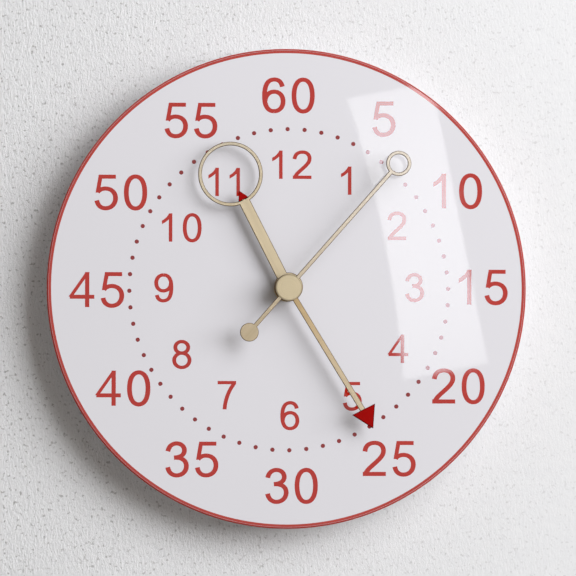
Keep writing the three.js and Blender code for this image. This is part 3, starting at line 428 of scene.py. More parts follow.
class Wiring:
    """The node tree of a material or group, with short calls for the nodes in it."""

    def __init__(self, tree: bpy.types.NodeTree) -> None:
        """Keeps the tree.

        Args:
            tree: the node tree to fill.
        """
        self.tree = tree

    def node(self, kind: str, inputs: dict | None = None, **settings: object) -> bpy.types.Node:
        """Adds a node, sets its options, and sets or links its inputs.

        Args:
            kind: Blender's name for the node type.
            inputs: socket name or number to a value or to another node's output.
            **settings: options of the node.

        Returns:
            The new node.
        """
        made = self.tree.nodes.new(kind)
        for option, value in settings.items():
            setattr(made, option, value)
        for name, value in (inputs or {}).items():
            if isinstance(value, bpy.types.NodeSocket):
                self.link(value, made, name)
            else:
                made.inputs[name].default_value = value
        return made

    def maths(self, operation: str, *values: object) -> bpy.types.NodeSocket:
        """Adds a Math node and returns its output.

        Args:
            operation: Blender's name for the sum.
            *values: numbers or outputs, in the node's order.

        Returns:
            The result's socket.
        """
        return self.node("ShaderNodeMath", dict(enumerate(values)), operation=operation).outputs[0]

    def blend(self, share: object, first: object, second: object) -> bpy.types.NodeSocket:
        """Mixes two colours by a share of 0 to 1.

        Args:
            share: number or output.
            first: colour where the share is 0.
            second: colour where the share is 1.

        Returns:
            The mixed colour's socket.
        """
        # Sockets 0, 6 and 7 are the share and the two colours, and output 2 is their mix.
        mix = self.node("ShaderNodeMix", data_type="RGBA")
        for number, value in ((0, share), (6, first), (7, second)):
            if isinstance(value, bpy.types.NodeSocket):
                self.link(value, mix, number)
            else:
                mix.inputs[number].default_value = (*value, 1.0) if isinstance(value, tuple) else value
        return mix.outputs[2]

    def spread(
        self, value: bpy.types.NodeSocket, low: object, high: object, start: float = 0.0, end: float = 1.0
    ) -> bpy.types.NodeSocket:
        """Maps a value between two levels on to a range, and holds it at the range's ends beyond them.

        Args:
            value: output to map.
            low: result at the start, a number or an output.
            high: result at the end.
            start: level where the range starts.
            end: level where it ends.

        Returns:
            The mapped value's socket.
        """
        levels = {"Value": value, "From Min": start, "From Max": end, "To Min": low, "To Max": high}
        return self.node("ShaderNodeMapRange", levels).outputs[0]

    def noise(
        self, vector: bpy.types.NodeSocket, scale: object, detail: float, roughness: float = 0.5
    ) -> bpy.types.NodeSocket:
        """Adds a noise of 0 to 1.

        Args:
            vector: its coordinates.
            scale: waves to the metre, a number or an output.
            detail: number of finer layers.
            roughness: strength of each finer layer.

        Returns:
            The noise's socket.
        """
        values = {"Vector": vector, "Scale": scale, "Detail": detail, "Roughness": roughness}
        return self.node("ShaderNodeTexNoise", values).outputs["Fac"]

    def axes(self, vector: bpy.types.NodeSocket) -> bpy.types.bpy_prop_collection:
        """Outputs X, Y and Z of a vector."""
        return self.node("ShaderNodeSeparateXYZ", {0: vector}).outputs

    def join(self, x: object, y: object, z: object) -> bpy.types.NodeSocket:
        """Makes a vector of three numbers or outputs."""
        return self.node("ShaderNodeCombineXYZ", {"X": x, "Y": y, "Z": z}).outputs[0]

    def vectors(self, operation: str, *values: object) -> bpy.types.NodeSocket:
        """Adds a Vector Math node and returns the output that it uses.

        Args:
            operation: Blender's name for the sum.
            *values: vectors or outputs, in the node's order.

        Returns:
            The result's socket: a number for a length or a dot product, and else a vector.
        """
        outputs = self.node("ShaderNodeVectorMath", dict(enumerate(values)), operation=operation).outputs
        return outputs["Value" if operation in ("LENGTH", "DOT_PRODUCT") else "Vector"]

    def radius(self, vector: bpy.types.NodeSocket) -> bpy.types.NodeSocket:
        """Distance of a place from the Y axis, which is the length of its x and z."""
        return self.vectors("LENGTH", self.vectors("MULTIPLY", vector, (1.0, 0.0, 1.0)))

    def link(self, value: bpy.types.NodeSocket, node: bpy.types.Node, socket: object) -> None:
        """Links an output to a node's input."""
        self.tree.links.new(value, node.inputs[socket])


# How wide and long the broad tones of a brushed face are drawn, against its hairlines.
BROAD_TONES = (0.12, 0.12, 0.5)
# Waves to the metre of the waver in the rings of a turned face.
RING_WAVER = (60.0, 60.0, 60.0)


class Group(Enum):
    """The shared surface effects, each a shader node group."""

    BRUSHING = "brushed_grain"
    GRAIN = "moulded_grain"
    RIM = "rim_mask"
    TURNING = "turning_marks"


def new_group(
    kind: Group, inputs: dict[str, object], outputs: tuple[str, ...]
) -> tuple[Wiring, bpy.types.Node, bpy.types.Node]:
    """Makes an empty shader node group with named sockets.

    Args:
        kind: which effect it is.
        inputs: socket name to its starting number, or to None for a vector.
        outputs: names of its number outputs.

    Returns:
        The wiring of the group, its input node and its output node.
    """
    tree = bpy.data.node_groups.new(kind.value, "ShaderNodeTree")
    for name, value in inputs.items():
        socket_type = "NodeSocketVector" if value is None else "NodeSocketFloat"
        socket = tree.interface.new_socket(name, in_out="INPUT", socket_type=socket_type)
        if value is not None:
            socket.default_value = value
    for name in outputs:
        tree.interface.new_socket(name, in_out="OUTPUT", socket_type="NodeSocketFloat")
    wiring = Wiring(tree)
    return wiring, wiring.node("NodeGroupInput"), wiring.node("NodeGroupOutput")


def make_brushing() -> None:
    """Grain of a brushed metal: noise drawn out along Z of the pattern, in fine hairlines and broad tones."""
    sockets = {"Vector": None, "Along": 30.0, "Across": 4000.0}
    wiring, start, end = new_group(Group.BRUSHING, sockets, ("Line", "Tone"))
    place = wiring.axes(start.outputs["Vector"])
    across = wiring.maths("MULTIPLY", place["X"], start.outputs["Across"])
    depth = wiring.maths("MULTIPLY", place["Y"], start.outputs["Across"])
    along = wiring.maths("MULTIPLY", place["Z"], start.outputs["Along"])
    stretched = wiring.join(across, depth, along)
    broad = wiring.vectors("MULTIPLY", stretched, BROAD_TONES)
    wiring.link(wiring.noise(stretched, 1.0, detail=4.0, roughness=0.7), end, "Line")
    wiring.link(wiring.noise(broad, 1.0, detail=2.0), end, "Tone")


def make_grain() -> None:
    """Grain of a moulded or printed surface: fine speckle for the height, broad clouds for the tone."""
    sockets = {"Vector": None, "Fine": 3000.0, "Broad": 40.0}
    wiring, start, end = new_group(Group.GRAIN, sockets, ("Speckle", "Cloud"))
    for output, scale, detail in (("Speckle", "Fine", 3.0), ("Cloud", "Broad", 4.0)):
        wiring.link(wiring.noise(start.outputs["Vector"], start.outputs[scale], detail), end, output)


def make_rim() -> None:
    """Mask of a disc's rim: 0 inside a radius about the Y axis, 1 outside it, over a soft step."""
    sockets = {"Vector": None, "Radius": 0.1, "Softness": 0.0001}
    wiring, start, end = new_group(Group.RIM, sockets, ("Mask",))
    radius = wiring.radius(start.outputs["Vector"])
    past = wiring.maths("SUBTRACT", radius, start.outputs["Radius"])
    share = wiring.node("ShaderNodeMath", {0: past, 1: start.outputs["Softness"]}, operation="DIVIDE")
    share.use_clamp = True
    wiring.link(share.outputs[0], end, "Mask")


def make_turning() -> None:
    """Marks of a lathe: fine rings about the Y axis, a noise of the radius with a slight waver round it."""
    sockets = {"Vector": None, "Rings": 9000.0}
    wiring, start, end = new_group(Group.TURNING, sockets, ("Line",))
    radius = wiring.radius(start.outputs["Vector"])
    rings = wiring.maths("MULTIPLY", radius, start.outputs["Rings"])
    waver = wiring.axes(wiring.vectors("MULTIPLY", start.outputs["Vector"], RING_WAVER))
    wiring.link(wiring.noise(wiring.join(rings, waver["X"], waver["Z"]), 1.0, detail=3.0), end, "Line")


def make_groups() -> None:
    """Builds every shared effect once."""
    make_brushing()
    make_grain()
    make_rim()
    make_turning()


class Surface:
    """A material being made: its wiring, its Principled shader and its Object coordinates."""

    def __init__(self, name: str, **values: object) -> None:
        """Starts the material and sets the values that are the same all over.

        Args:
            name: the material's name.
            **values: shader socket, with _ for a space, to its value.
        """
        self.material = bpy.data.materials.new(name)
        self.material.use_nodes = True
        self.wiring = Wiring(self.material.node_tree)
        self.shader = self.material.node_tree.nodes["Principled BSDF"]
        for socket, value in values.items():
            self.shader.inputs[socket.replace("_", " ")].default_value = value
        self.place = self.wiring.node("ShaderNodeTexCoord").outputs["Object"]

    def turned(self, clockwise: float) -> bpy.types.NodeSocket:
        """Object coordinates turned about the spindle, so that Z runs along a hand.

        Args:
            clockwise: the hand's angle in degrees from twelve.

        Returns:
            The turned vector's socket.
        """
        mapping = self.wiring.node("ShaderNodeMapping", {"Vector": self.place}, vector_type="POINT")
        mapping.inputs["Rotation"].default_value = (0.0, math.radians(-clockwise), 0.0)
        return mapping.outputs[0]

    def effect(self, kind: Group, vector: bpy.types.NodeSocket, **values: float) -> bpy.types.Node:
        """Places a shared effect.

        Args:
            kind: which effect.
            vector: its coordinates.
            **values: its other inputs.

        Returns:
            The group node.
        """
        node = self.wiring.node("ShaderNodeGroup", node_tree=bpy.data.node_groups[kind.value])
        self.wiring.link(vector, node, "Vector")
        for name, value in values.items():
            node.inputs[name].default_value = value
        return node

    def feed(self, socket: str, value: bpy.types.NodeSocket) -> None:
        """Links an output to a socket of the shader."""
        self.wiring.link(value, self.shader, socket)

    def below(self, face: float, drop: float) -> bpy.types.NodeSocket:
        """Mask of what lies below a front face.

        Args:
            face: height of the face above the wall, where the mask is 0.
            drop: how far below it the mask reaches 1.

        Returns:
            The mask's socket.
        """
        first, last = -face * MILLIMETRE, (drop - face) * MILLIMETRE
        return self.wiring.spread(self.wiring.axes(self.place)["Y"], 0.0, 1.0, first, last)

    def bump(self, height: bpy.types.NodeSocket, depth: float, strength: object = 1.0) -> None:
        """Raises the surface by a height.

        Args:
            height: output of 0 to 1.
            depth: millimetres between the two.
            strength: share of the effect, a number or an output.
        """
        bump = self.wiring.node("ShaderNodeBump", {"Height": height, "Strength": strength})
        bump.inputs["Distance"].default_value = depth * MILLIMETRE
        self.feed("Normal", bump.outputs[0])


@dataclass(frozen=True)
class BrushedMetal:
    """Sheet metal brushed along one direction."""

    name: str
    light: Colour
    dark: Colour
    roughness: float = 0.37
    metallic: float = 0.72
    turn: float = 0.0
    along: float = 30.0
    across: float = 4000.0
    depth: float = 0.02
    face: float | None = None
    # Painted shade: the colour that the rounded front edges turn into, which also dims their highlights.
    edge_tone: Colour = linear(92, 72, 46)
    edge_drop: float = 0.035
    # The drift is painted light: a factor on the colour that grows along a hand between the two places of
    # drift_span, paler where light and reflection fall on it and darker where it lies in shade.
    drift: Colour = (1.0, 1.0, 1.0)
    drift_span: tuple[float, float] = (0.0, 90.0)
    tone_levels: tuple[float, float] = (0.7, 1.3)
    roughness_swing: float = 0.08

    def toned(self, surface: Surface, turned: bpy.types.NodeSocket, tone: bpy.types.NodeSocket) -> None:
        """Feeds the colour of a hand, with painted light along it and painted shade round its edges.

        Formula: the tone is multiplied by 1 to the drift, which is painted light, between the two ends of the
        span, and turns into the edge's painted shade as the surface drops from the face by the edge's drop.

        Args:
            surface: the material being made.
            turned: coordinates with Z along the hand.
            tone: colour of the brushed face.
        """
        wiring = surface.wiring
        # Painted light along the hand: the colour is multiplied by the drift between the span's ends.
        start, end = (place * MILLIMETRE for place in self.drift_span)
        share = wiring.spread(wiring.axes(turned)["Z"], 0.0, 1.0, start, end)
        drifted = wiring.vectors("MULTIPLY", tone, wiring.blend(share, (1.0, 1.0, 1.0), self.drift))
        # Painted shade on the rounded edges, which also dims their highlights.
        edge = surface.below(self.face, self.edge_drop)
        surface.feed("Base Color", wiring.blend(edge, drifted, self.edge_tone))

    def material(self) -> bpy.types.Material:
        """Makes the material, with hairlines in colour, roughness and height, drawn out along the turn.

        Returns:
            The material.
        """
        surface = Surface(self.name, Metallic=self.metallic)
        turned = surface.turned(self.turn)
        brushing = surface.effect(Group.BRUSHING, turned, Along=self.along, Across=self.across)
        wiring = surface.wiring
        level = wiring.maths("ADD", brushing.outputs["Line"], brushing.outputs["Tone"])
        tone = wiring.blend(wiring.spread(level, 0.0, 1.0, *self.tone_levels), self.dark, self.light)
        if self.face is None:
            surface.feed("Base Color", tone)
        else:
            self.toned(surface, turned, tone)
        rougher, smoother = self.roughness + self.roughness_swing, self.roughness - self.roughness_swing
        surface.feed("Roughness", wiring.spread(brushing.outputs["Line"], rougher, smoother))
        surface.bump(brushing.outputs["Line"], self.depth)
        return surface.material


@dataclass(frozen=True)
class TurnedMetal:
    """Metal cut on a lathe, with fine rings about the spindle."""

    name: str
    light: Colour
    dark: Colour
    roughness: float = 0.34
    metallic: float = 0.72
    rings: float = 9000.0
    depth: float = 0.01
    face: float | None = None
    # Painted shade: the colour that the side turns into below the face.
    edge_tone: Colour = linear(82, 63, 40)
    edge_drop: float = 0.1
    tone_levels: tuple[float, float] = (0.35, 0.65)
    rougher: float = 0.06
    smoother: float = 0.04

    def material(self) -> bpy.types.Material:
        """Makes the material, with rings in colour, roughness and height, and painted shade down its side.

        Returns:
            The material.
        """
        surface = Surface(self.name, Metallic=self.metallic)
        turning = surface.effect(Group.TURNING, surface.place, Rings=self.rings)
        wiring = surface.wiring
        share = wiring.spread(turning.outputs["Line"], 0.0, 1.0, *self.tone_levels)
        tone = wiring.blend(share, self.dark, self.light)
        if self.face is not None:
            # Painted shade down the side below the face.
            tone = wiring.blend(surface.below(self.face, self.edge_drop), tone, self.edge_tone)
        surface.feed("Base Color", tone)
        rough = wiring.spread(share, self.roughness + self.rougher, self.roughness - self.smoother)
        surface.feed("Roughness", rough)
        surface.bump(turning.outputs["Line"], self.depth)
        return surface.material


@dataclass(frozen=True)
class Coating:
    """Enamel, ink, plastic, rubber or board: a dielectric with a fine grain and faint clouds of tone."""

    name: str
    light: Colour
    dark: Colour
    roughness: float = 0.45
    spread: float = 0.05
    fine: float = 3000.0
    broad: float = 60.0
    depth: float = 0.01
    ior: float = 1.5
    coat: float = 0.0
    gloss_tint: Colour = (1.0, 1.0, 1.0)
    face: float | None = None
    # Painted shade: the colour that the edges turn into below the face, where one is given.
    edge_tone: Colour = linear(84, 8, 11)
    edge_drop: float = 0.03
    tone_levels: tuple[float, float] = (0.3, 0.7)
    smoothest: float = 0.01

    def material(self) -> bpy.types.Material:
        """Makes the material, with clouds in colour and roughness, speckle in height, and painted shade on
        its edge.

        Returns:
            The material.
        """
        tint = (*self.gloss_tint, 1.0)
        surface = Surface(self.name, IOR=self.ior, Coat_Weight=self.coat, Specular_Tint=tint)
        grain = surface.effect(Group.GRAIN, surface.place, Fine=self.fine, Broad=self.broad)
        wiring = surface.wiring
        share = wiring.spread(grain.outputs["Cloud"], 0.0, 1.0, *self.tone_levels)
        tone = wiring.blend(share, self.dark, self.light)
        if self.face is not None:
            # Painted shade on the edges below the face.
            tone = wiring.blend(surface.below(self.face, self.edge_drop), tone, self.edge_tone)
        surface.feed("Base Color", tone)
        low, high = max(self.roughness - self.spread, self.smoothest), self.roughness + self.spread
        surface.feed("Roughness", wiring.spread(grain.outputs["Cloud"], low, high))
        surface.bump(grain.outputs["Speckle"], self.depth)
        return surface.material


@dataclass(frozen=True)
class EdgedAcrylic:
    """Polished white acrylic with a red painted edge."""

    name: str
    white: Colour
    shade: Colour
    edge: Colour
    edge_radius: float
    edge_softness: float = 0.15
    roughness: float = 0.02
    edge_roughness: float = 0.65
    ior: float = 1.36
    fine: float = 2500.0
    broad: float = 9.0
    depth: float = 0.0004
    grain_strength: float = 0.1

    def material(self) -> bpy.types.Material:
        """Makes the material, with white clouds and then the painted edge.

        Returns:
            The material.
        """
        surface = Surface(self.name, IOR=self.ior)
        wiring = surface.wiring
        grain = surface.effect(Group.GRAIN, surface.place, Fine=self.fine, Broad=self.broad)
        white = wiring.blend(grain.outputs["Cloud"], self.shade, self.white)
        radius, softness = self.edge_radius * MILLIMETRE, self.edge_softness * MILLIMETRE
        edge = surface.effect(Group.RIM, surface.place, Radius=radius, Softness=softness)
        surface.feed("Base Color", wiring.blend(edge.outputs["Mask"], white, self.edge))
        surface.feed("Roughness", wiring.spread(edge.outputs["Mask"], self.roughness, self.edge_roughness))
        surface.bump(grain.outputs["Speckle"], self.depth, self.grain_strength)
        return surface.material


class Cut(Enum):
    """How a stroke of a digit ends."""

    SQUARE = "square to the stroke"
    LEVEL = "along a level line"
    UPRIGHT = "along an upright line"


@dataclass(frozen=True)
class Stroke:
    """One stroke of a digit, in shares of the digit's height, from (0, 0) at its lower left corner.

    Attributes:
        start: first point of the centre line.
        curves: two handles and an end point of each curve, or just an end point for a straight line.
        closed: True for a loop.
        width: width of a straight stroke, or None for a pen that is broader on its upright stretches.
        first: cut at the start.
        last: cut at the end.
    """

    start: tuple[float, float]
    curves: tuple[tuple[float, ...], ...]
    closed: bool = False
    width: float | None = None
    first: Cut = Cut.SQUARE
    last: Cut = Cut.SQUARE


def loop_stroke(x: float, y: float, across: float, up: float, pull_x: float, pull_y: float) -> Stroke:
    """A closed oval stroke of four curves.

    Args:
        x: centre, to the right.
        y: centre, upwards.
        across: half width.
        up: half height.
        pull_x: handle length of its level stretches, in half widths.
        pull_y: handle length of its upright stretches, in half heights.

    Returns:
        The stroke.
    """
    left, right, low, high = x - across, x + across, y - up, y + up
    handle_x, handle_y = across * pull_x, up * pull_y
    curves = (
        (right, y + handle_y, x + handle_x, high, x, high),
        (x - handle_x, high, left, y + handle_y, left, y),
        (left, y - handle_y, x - handle_x, low, x, low),
        (x + handle_x, low, right, y - handle_y, right, y),
    )
    return Stroke((right, y), curves, closed=True)


def half_turn(stroke: Stroke, x: float, y: float) -> Stroke:
    """Turns a stroke by half a turn.

    Formula: each coordinate becomes twice the centre's minus itself.

    Args:
        stroke: the stroke.
        x: centre of the turn, to the right.
        y: centre, upwards.

    Returns:
        The turned stroke.
    """
    curves = tuple(
        tuple(2 * (x if index % 2 == 0 else y) - value for index, value in enumerate(curve))
        for curve in stroke.curves
    )
    start = (2 * x - stroke.start[0], 2 * y - stroke.start[1])
    return Stroke(start, curves, stroke.closed, stroke.width, stroke.first, stroke.last)


SIX = (
    Stroke(
        (0.628, 0.745),
        (
            (0.60, 0.88, 0.52, 0.95, 0.405, 0.95),
            (0.20, 0.95, 0.116, 0.78, 0.116, 0.47),
            (0.116, 0.19, 0.21, 0.04, 0.39, 0.04),
        ),
    ),
    Stroke(
        (0.39, 0.04),
        (
            (0.545, 0.04, 0.65, 0.16, 0.65, 0.32),
            (0.65, 0.49, 0.545, 0.60, 0.395, 0.60),
            (0.25, 0.60, 0.14, 0.49, 0.135, 0.33),
        ),
    ),
)

DIGITS: dict[str, tuple[Stroke, ...]] = {
    "0": (loop_stroke(0.384, 0.4935, 0.2635, 0.4565, 0.58, 0.66),),
    "1": (
        Stroke((0.4575, 0.0), ((0.4575, 1.0),), width=0.125),
        Stroke((0.152, 0.68), ((0.28, 0.745, 0.385, 0.83, 0.45, 0.965),), width=0.112, first=Cut.UPRIGHT),
    ),
    "2": (
        Stroke(
            (0.106, 0.70),
            (
                (0.125, 0.87, 0.23, 0.948, 0.39, 0.948),
                (0.545, 0.948, 0.64, 0.85, 0.64, 0.725),
                (0.64, 0.60, 0.56, 0.51, 0.36, 0.335),
                (0.22, 0.215, 0.15, 0.14, 0.115, 0.045),
            ),
        ),
        Stroke((0.045, 0.059), ((0.707, 0.059),), width=0.118),
    ),
    "3": (
        Stroke(
            (0.125, 0.725),
            (
                (0.15, 0.87, 0.25, 0.95, 0.375, 0.95),
                (0.50, 0.95, 0.597, 0.865, 0.597, 0.755),
                (0.597, 0.635, 0.50, 0.555, 0.30, 0.545),
            ),
        ),
        Stroke(
            (0.30, 0.545),
            (
                (0.53, 0.56, 0.653, 0.46, 0.653, 0.305),
                (0.653, 0.15, 0.53, 0.04, 0.375, 0.04),
                (0.24, 0.04, 0.145, 0.125, 0.12, 0.275),
            ),
        ),
    ),
    "4": (
        Stroke((0.5115, 0.0), ((0.5115, 1.0),), width=0.122),
        Stroke((0.018, 0.2955), ((0.716, 0.2955),), width=0.113),
        Stroke((0.530, 1.0), ((0.0385, 0.30),), width=0.093, first=Cut.LEVEL, last=Cut.LEVEL),
    ),
    "5": (
        Stroke(
            (0.145, 0.50),
            (
                (0.20, 0.57, 0.28, 0.603, 0.37, 0.603),
                (0.54, 0.603, 0.655, 0.49, 0.655, 0.33),
                (0.655, 0.165, 0.54, 0.04, 0.37, 0.04),
                (0.235, 0.04, 0.145, 0.125, 0.122, 0.265),
            ),
        ),
        Stroke((0.145, 0.485), ((0.235, 1.0),), width=0.115, first=Cut.LEVEL, last=Cut.LEVEL),
        Stroke((0.19, 0.943), ((0.665, 0.943),), width=0.115),
    ),
    "6": SIX,
    "7": (
        Stroke((0.066, 0.943), ((0.714, 0.943),), width=0.115),
        Stroke((0.652, 0.915), ((0.50, 0.73, 0.33, 0.40, 0.31, 0.0),), last=Cut.LEVEL),
    ),
    "8": (
        loop_stroke(0.385, 0.7475, 0.2275, 0.2025, 0.5523, 0.5523),
        loop_stroke(0.388, 0.2925, 0.27, 0.2525, 0.5523, 0.5523),
    ),
    "9": tuple(half_turn(stroke, 0.384, 0.4935) for stroke in SIX),
}


@dataclass(frozen=True)
class DigitPen:
    """Draws digits as slabs of ink, as a grotesque letter with slightly thinner level strokes.

    Attributes:
        upright: width of an upright stroke, in digit heights.
        level: width of a level stroke.
        steps: steps along each curve.
        film: height of the ink above the dial, in millimetres.
        lap: extra height of each further stroke, so that no two faces lie in one plane.
        root: depth of the ink in the dial.
    """

    upright: float = 0.138
    level: float = 0.120
    steps: int = 10
    film: float = 0.02
    lap: float = 0.004
    root: float = 0.2

    def centre_line(self, stroke: Stroke) -> np.ndarray:
        """Points of a stroke's centre line.

        Formula: each curve is the cubic A(1-t)^3 + 3Bt(1-t)^2 + 3Ct^2(1-t) + Dt^3; a straight stroke has
        its two ends.

        Args:
            stroke: the stroke.

        Returns:
            Rows of x and y in digit heights.
        """
        line = [np.array([stroke.start])]
        share = np.linspace(0, 1, self.steps + 1)[1:, None]
        for curve in stroke.curves:
            if len(curve) == 2:
                line.append(np.array([curve]))
                continue
            handles = np.array(curve).reshape(3, 2)
            start = line[-1][-1]
            line.append(
                start * (1 - share) ** 3
                + 3 * handles[0] * share * (1 - share) ** 2
                + 3 * handles[1] * share**2 * (1 - share)
                + handles[2] * share**3
            )
        points = np.concatenate(line)
        return points[:-1] if stroke.closed else points

    def sides(self, stroke: Stroke) -> tuple[np.ndarray, np.ndarray]:
        """The two sides of a stroke.

        Formula: half the width is laid off square to the centre line, the width being the level one plus
        the upright one's surplus times the square of the direction's upright share. At a level or upright
        end each side is slid along the stroke until it meets the line through the end.

        Args:
            stroke: the stroke.

        Returns:
            Rows of x and y of the left side and of the right side.
        """
        line = self.centre_line(stroke)
        if stroke.closed:
            tangent = np.roll(line, -1, axis=0) - np.roll(line, 1, axis=0)
        else:
            tangent = np.gradient(line, axis=0)
        tangent /= np.linalg.norm(tangent, axis=1, keepdims=True)
        width = self.level + (self.upright - self.level) * tangent[:, 1] ** 2
        half = (np.full(len(line), stroke.width) if stroke.width else width)[:, None] / 2
        normal = np.stack((-tangent[:, 1], tangent[:, 0]), axis=1)
        offsets = [half * normal, -half * normal]
        for end, how in ((0, stroke.first), (-1, stroke.last)):
            if how is Cut.SQUARE or stroke.closed:
                continue
            axis = 1 if how is Cut.LEVEL else 0
            for offset in offsets:
                offset[end] -= tangent[end] * offset[end, axis] / tangent[end, axis]
        return line + offsets[0], line + offsets[1]

    def write(self, ink: Mesher, digit: str, place: tuple[float, float], height: float, face: float) -> None:
        """Adds one digit to the ink.

        Args:
            ink: the mesh that gathers it.
            digit: which digit.
            place: x and y of its cell's lower left corner, in millimetres.
            height: its height.
            face: height of the dial's face above the wall.
        """
        for number, stroke in enumerate(DIGITS[digit]):
            left, right = (np.array(place) + side * height for side in self.sides(stroke))
            top = face + self.film + number * self.lap
            back = face - self.root
            section = np.stack((left, left, right, right), axis=1)
            heights = np.array([back, top, top, back])
            points = stand(section[..., 0], section[..., 1], heights)
            ink.grid(points, around_u=stroke.closed, around_v=True)
            if not stroke.closed:
                ends = np.array([[0, 1, 2, 3], np.arange(4) + 4 * (len(left) - 1)])
                ink.add(points, ends)


INK_SPAN: dict[str, tuple[float, float]] = {
    "0": (0.058, 0.710), "1": (0.152, 0.520), "2": (0.042, 0.707), "3": (0.059, 0.716), "4": (0.018, 0.716),
    "5": (0.058, 0.719), "6": (0.053, 0.711), "7": (0.066, 0.714), "8": (0.056, 0.721), "9": (0.057, 0.712),
}


@dataclass(frozen=True)
class NumberRing:
    """A ring of hand-set numbers.

    Attributes:
        name: the piece's name.
        radius: from the ring's middle to the middle of each number's ink.
        middle: x and y of the ring's middle on the dial.
        slip: degrees by which the whole ring is turned, clockwise.
        height: height of a digit.
        pitch: from digit to digit, in digit heights.
        minutes: how many minutes of the circle one step of the number counts.
        places: the number and how far it was set off its place on the ring, to the right and up.
        ones_closer: by how much two ones stand closer together, in digit heights.
    """

    name: str
    radius: float
    middle: tuple[float, float]
    slip: float
    height: float
    pitch: float
    minutes: int
    places: tuple[tuple[str, float, float], ...]
    ones_closer: float = 0.09

    def build(self, pen: DigitPen, face: float) -> bpy.types.Object:
        """Writes the ring's numbers.

        Args:
            pen: the pen that draws the digits.
            face: height of the dial's face above the wall.

        Returns:
            The ink of the whole ring.
        """
        ink = Mesher()
        for text, right, up in self.places:
            angle = int(text) * self.minutes * FULL_TURN / MINUTES + math.radians(self.slip)
            x = self.middle[0] + self.radius * math.sin(angle) + right
            y = self.middle[1] + self.radius * math.cos(angle) + up
            pitch = self.pitch - (self.ones_closer if text == "11" else 0.0)
            first, last = INK_SPAN[text[0]][0], INK_SPAN[text[-1]][1] + (len(text) - 1) * pitch
            left = x - self.height * (first + last) / 2
            for index, digit in enumerate(text):
                corner = (left + index * pitch * self.height, y - self.height / 2)
                pen.write(ink, digit, corner, self.height, face)
        return ink.build(self.name)


@dataclass(frozen=True)
class DotRing:
    """A ring of sixty printed dots that drifted a little as it was printed.

    Attributes:
        radius: radius of the ring.
        dot: radius of a dot.
        middle: x and y of the ring's middle on the dial.
        slip: degrees by which the whole ring is turned, clockwise.
        drift_round: waves round the circle, their size in millimetres and the degree of their first crest,
            of the drift along the ring.
        drift_out: the same of the drifts outwards.
        dent: degree and width of one more drift, and its size along the ring and outwards.
    """

    radius: float = 84.4
    dot: float = 1.14
    middle: tuple[float, float] = (0.82, -0.75)
    slip: float = -0.39
    drift_round: tuple[tuple[int, float, float], ...] = ((2, 0.47, 37.0), (3, 0.16, 60.0))
    drift_out: tuple[tuple[int, float, float], ...] = ((2, 0.24, 2.0), (3, 0.24, -16.0), (4, 0.40, 9.0))
    dent: tuple[float, float, float, float] = (42.0, 9.0, -0.17, -0.5)

    def build(self, pen: DigitPen, face: float) -> bpy.types.Object:
        """Prints the dots, one for every six degrees.

        Formula: a drift at the angle t is the sum of size times cos(waves (t - crest)); the one along the
        ring is divided by its radius and added to the angle, the other one is added to the radius. The
        dent adds its sizes times exp(-((t - degree) / width)^2).

        Args:
            pen: the pen, which gives the ink's film.
            face: height of the dial's face above the wall.

        Returns:
            The ink of the whole ring.
        """
        turn = np.arange(MINUTES) * FULL_TURN / MINUTES
        along, out = (
            sum(size * np.cos(waves * (turn - math.radians(crest))) for waves, size, crest in drift)
            for drift in (self.drift_round, self.drift_out)
        )
        degree, width, along_dent, out_dent = self.dent
        share = np.exp(-(((np.degrees(turn) - degree) / width) ** 2))
        angle = turn + math.radians(self.slip) + (along + along_dent * share) / self.radius
        radius = self.radius + out + out_dent * share
        top, root = face + pen.film, face - pen.root
        profile = np.array([[0, top], [self.dot, top], [self.dot, root], [0, root]])
        ink = Mesher()
        for x, y in zip(self.middle[0] + radius * np.sin(angle), self.middle[1] + radius * np.cos(angle)):
            ink.lathe(profile, (x, y), segments=24)
        return ink.build("minute_dots")


def gloss_ink(
    name: str, light: Colour, dark: Colour, ior: float, gloss_tint: Colour = (1.0, 1.0, 1.0)
) -> Coating:
    """A printing ink that dries glossy and almost without a grain."""
    return Coating(name, light, dark, 0.03, spread=0.01, depth=0.0004, ior=ior, gloss_tint=gloss_tint)


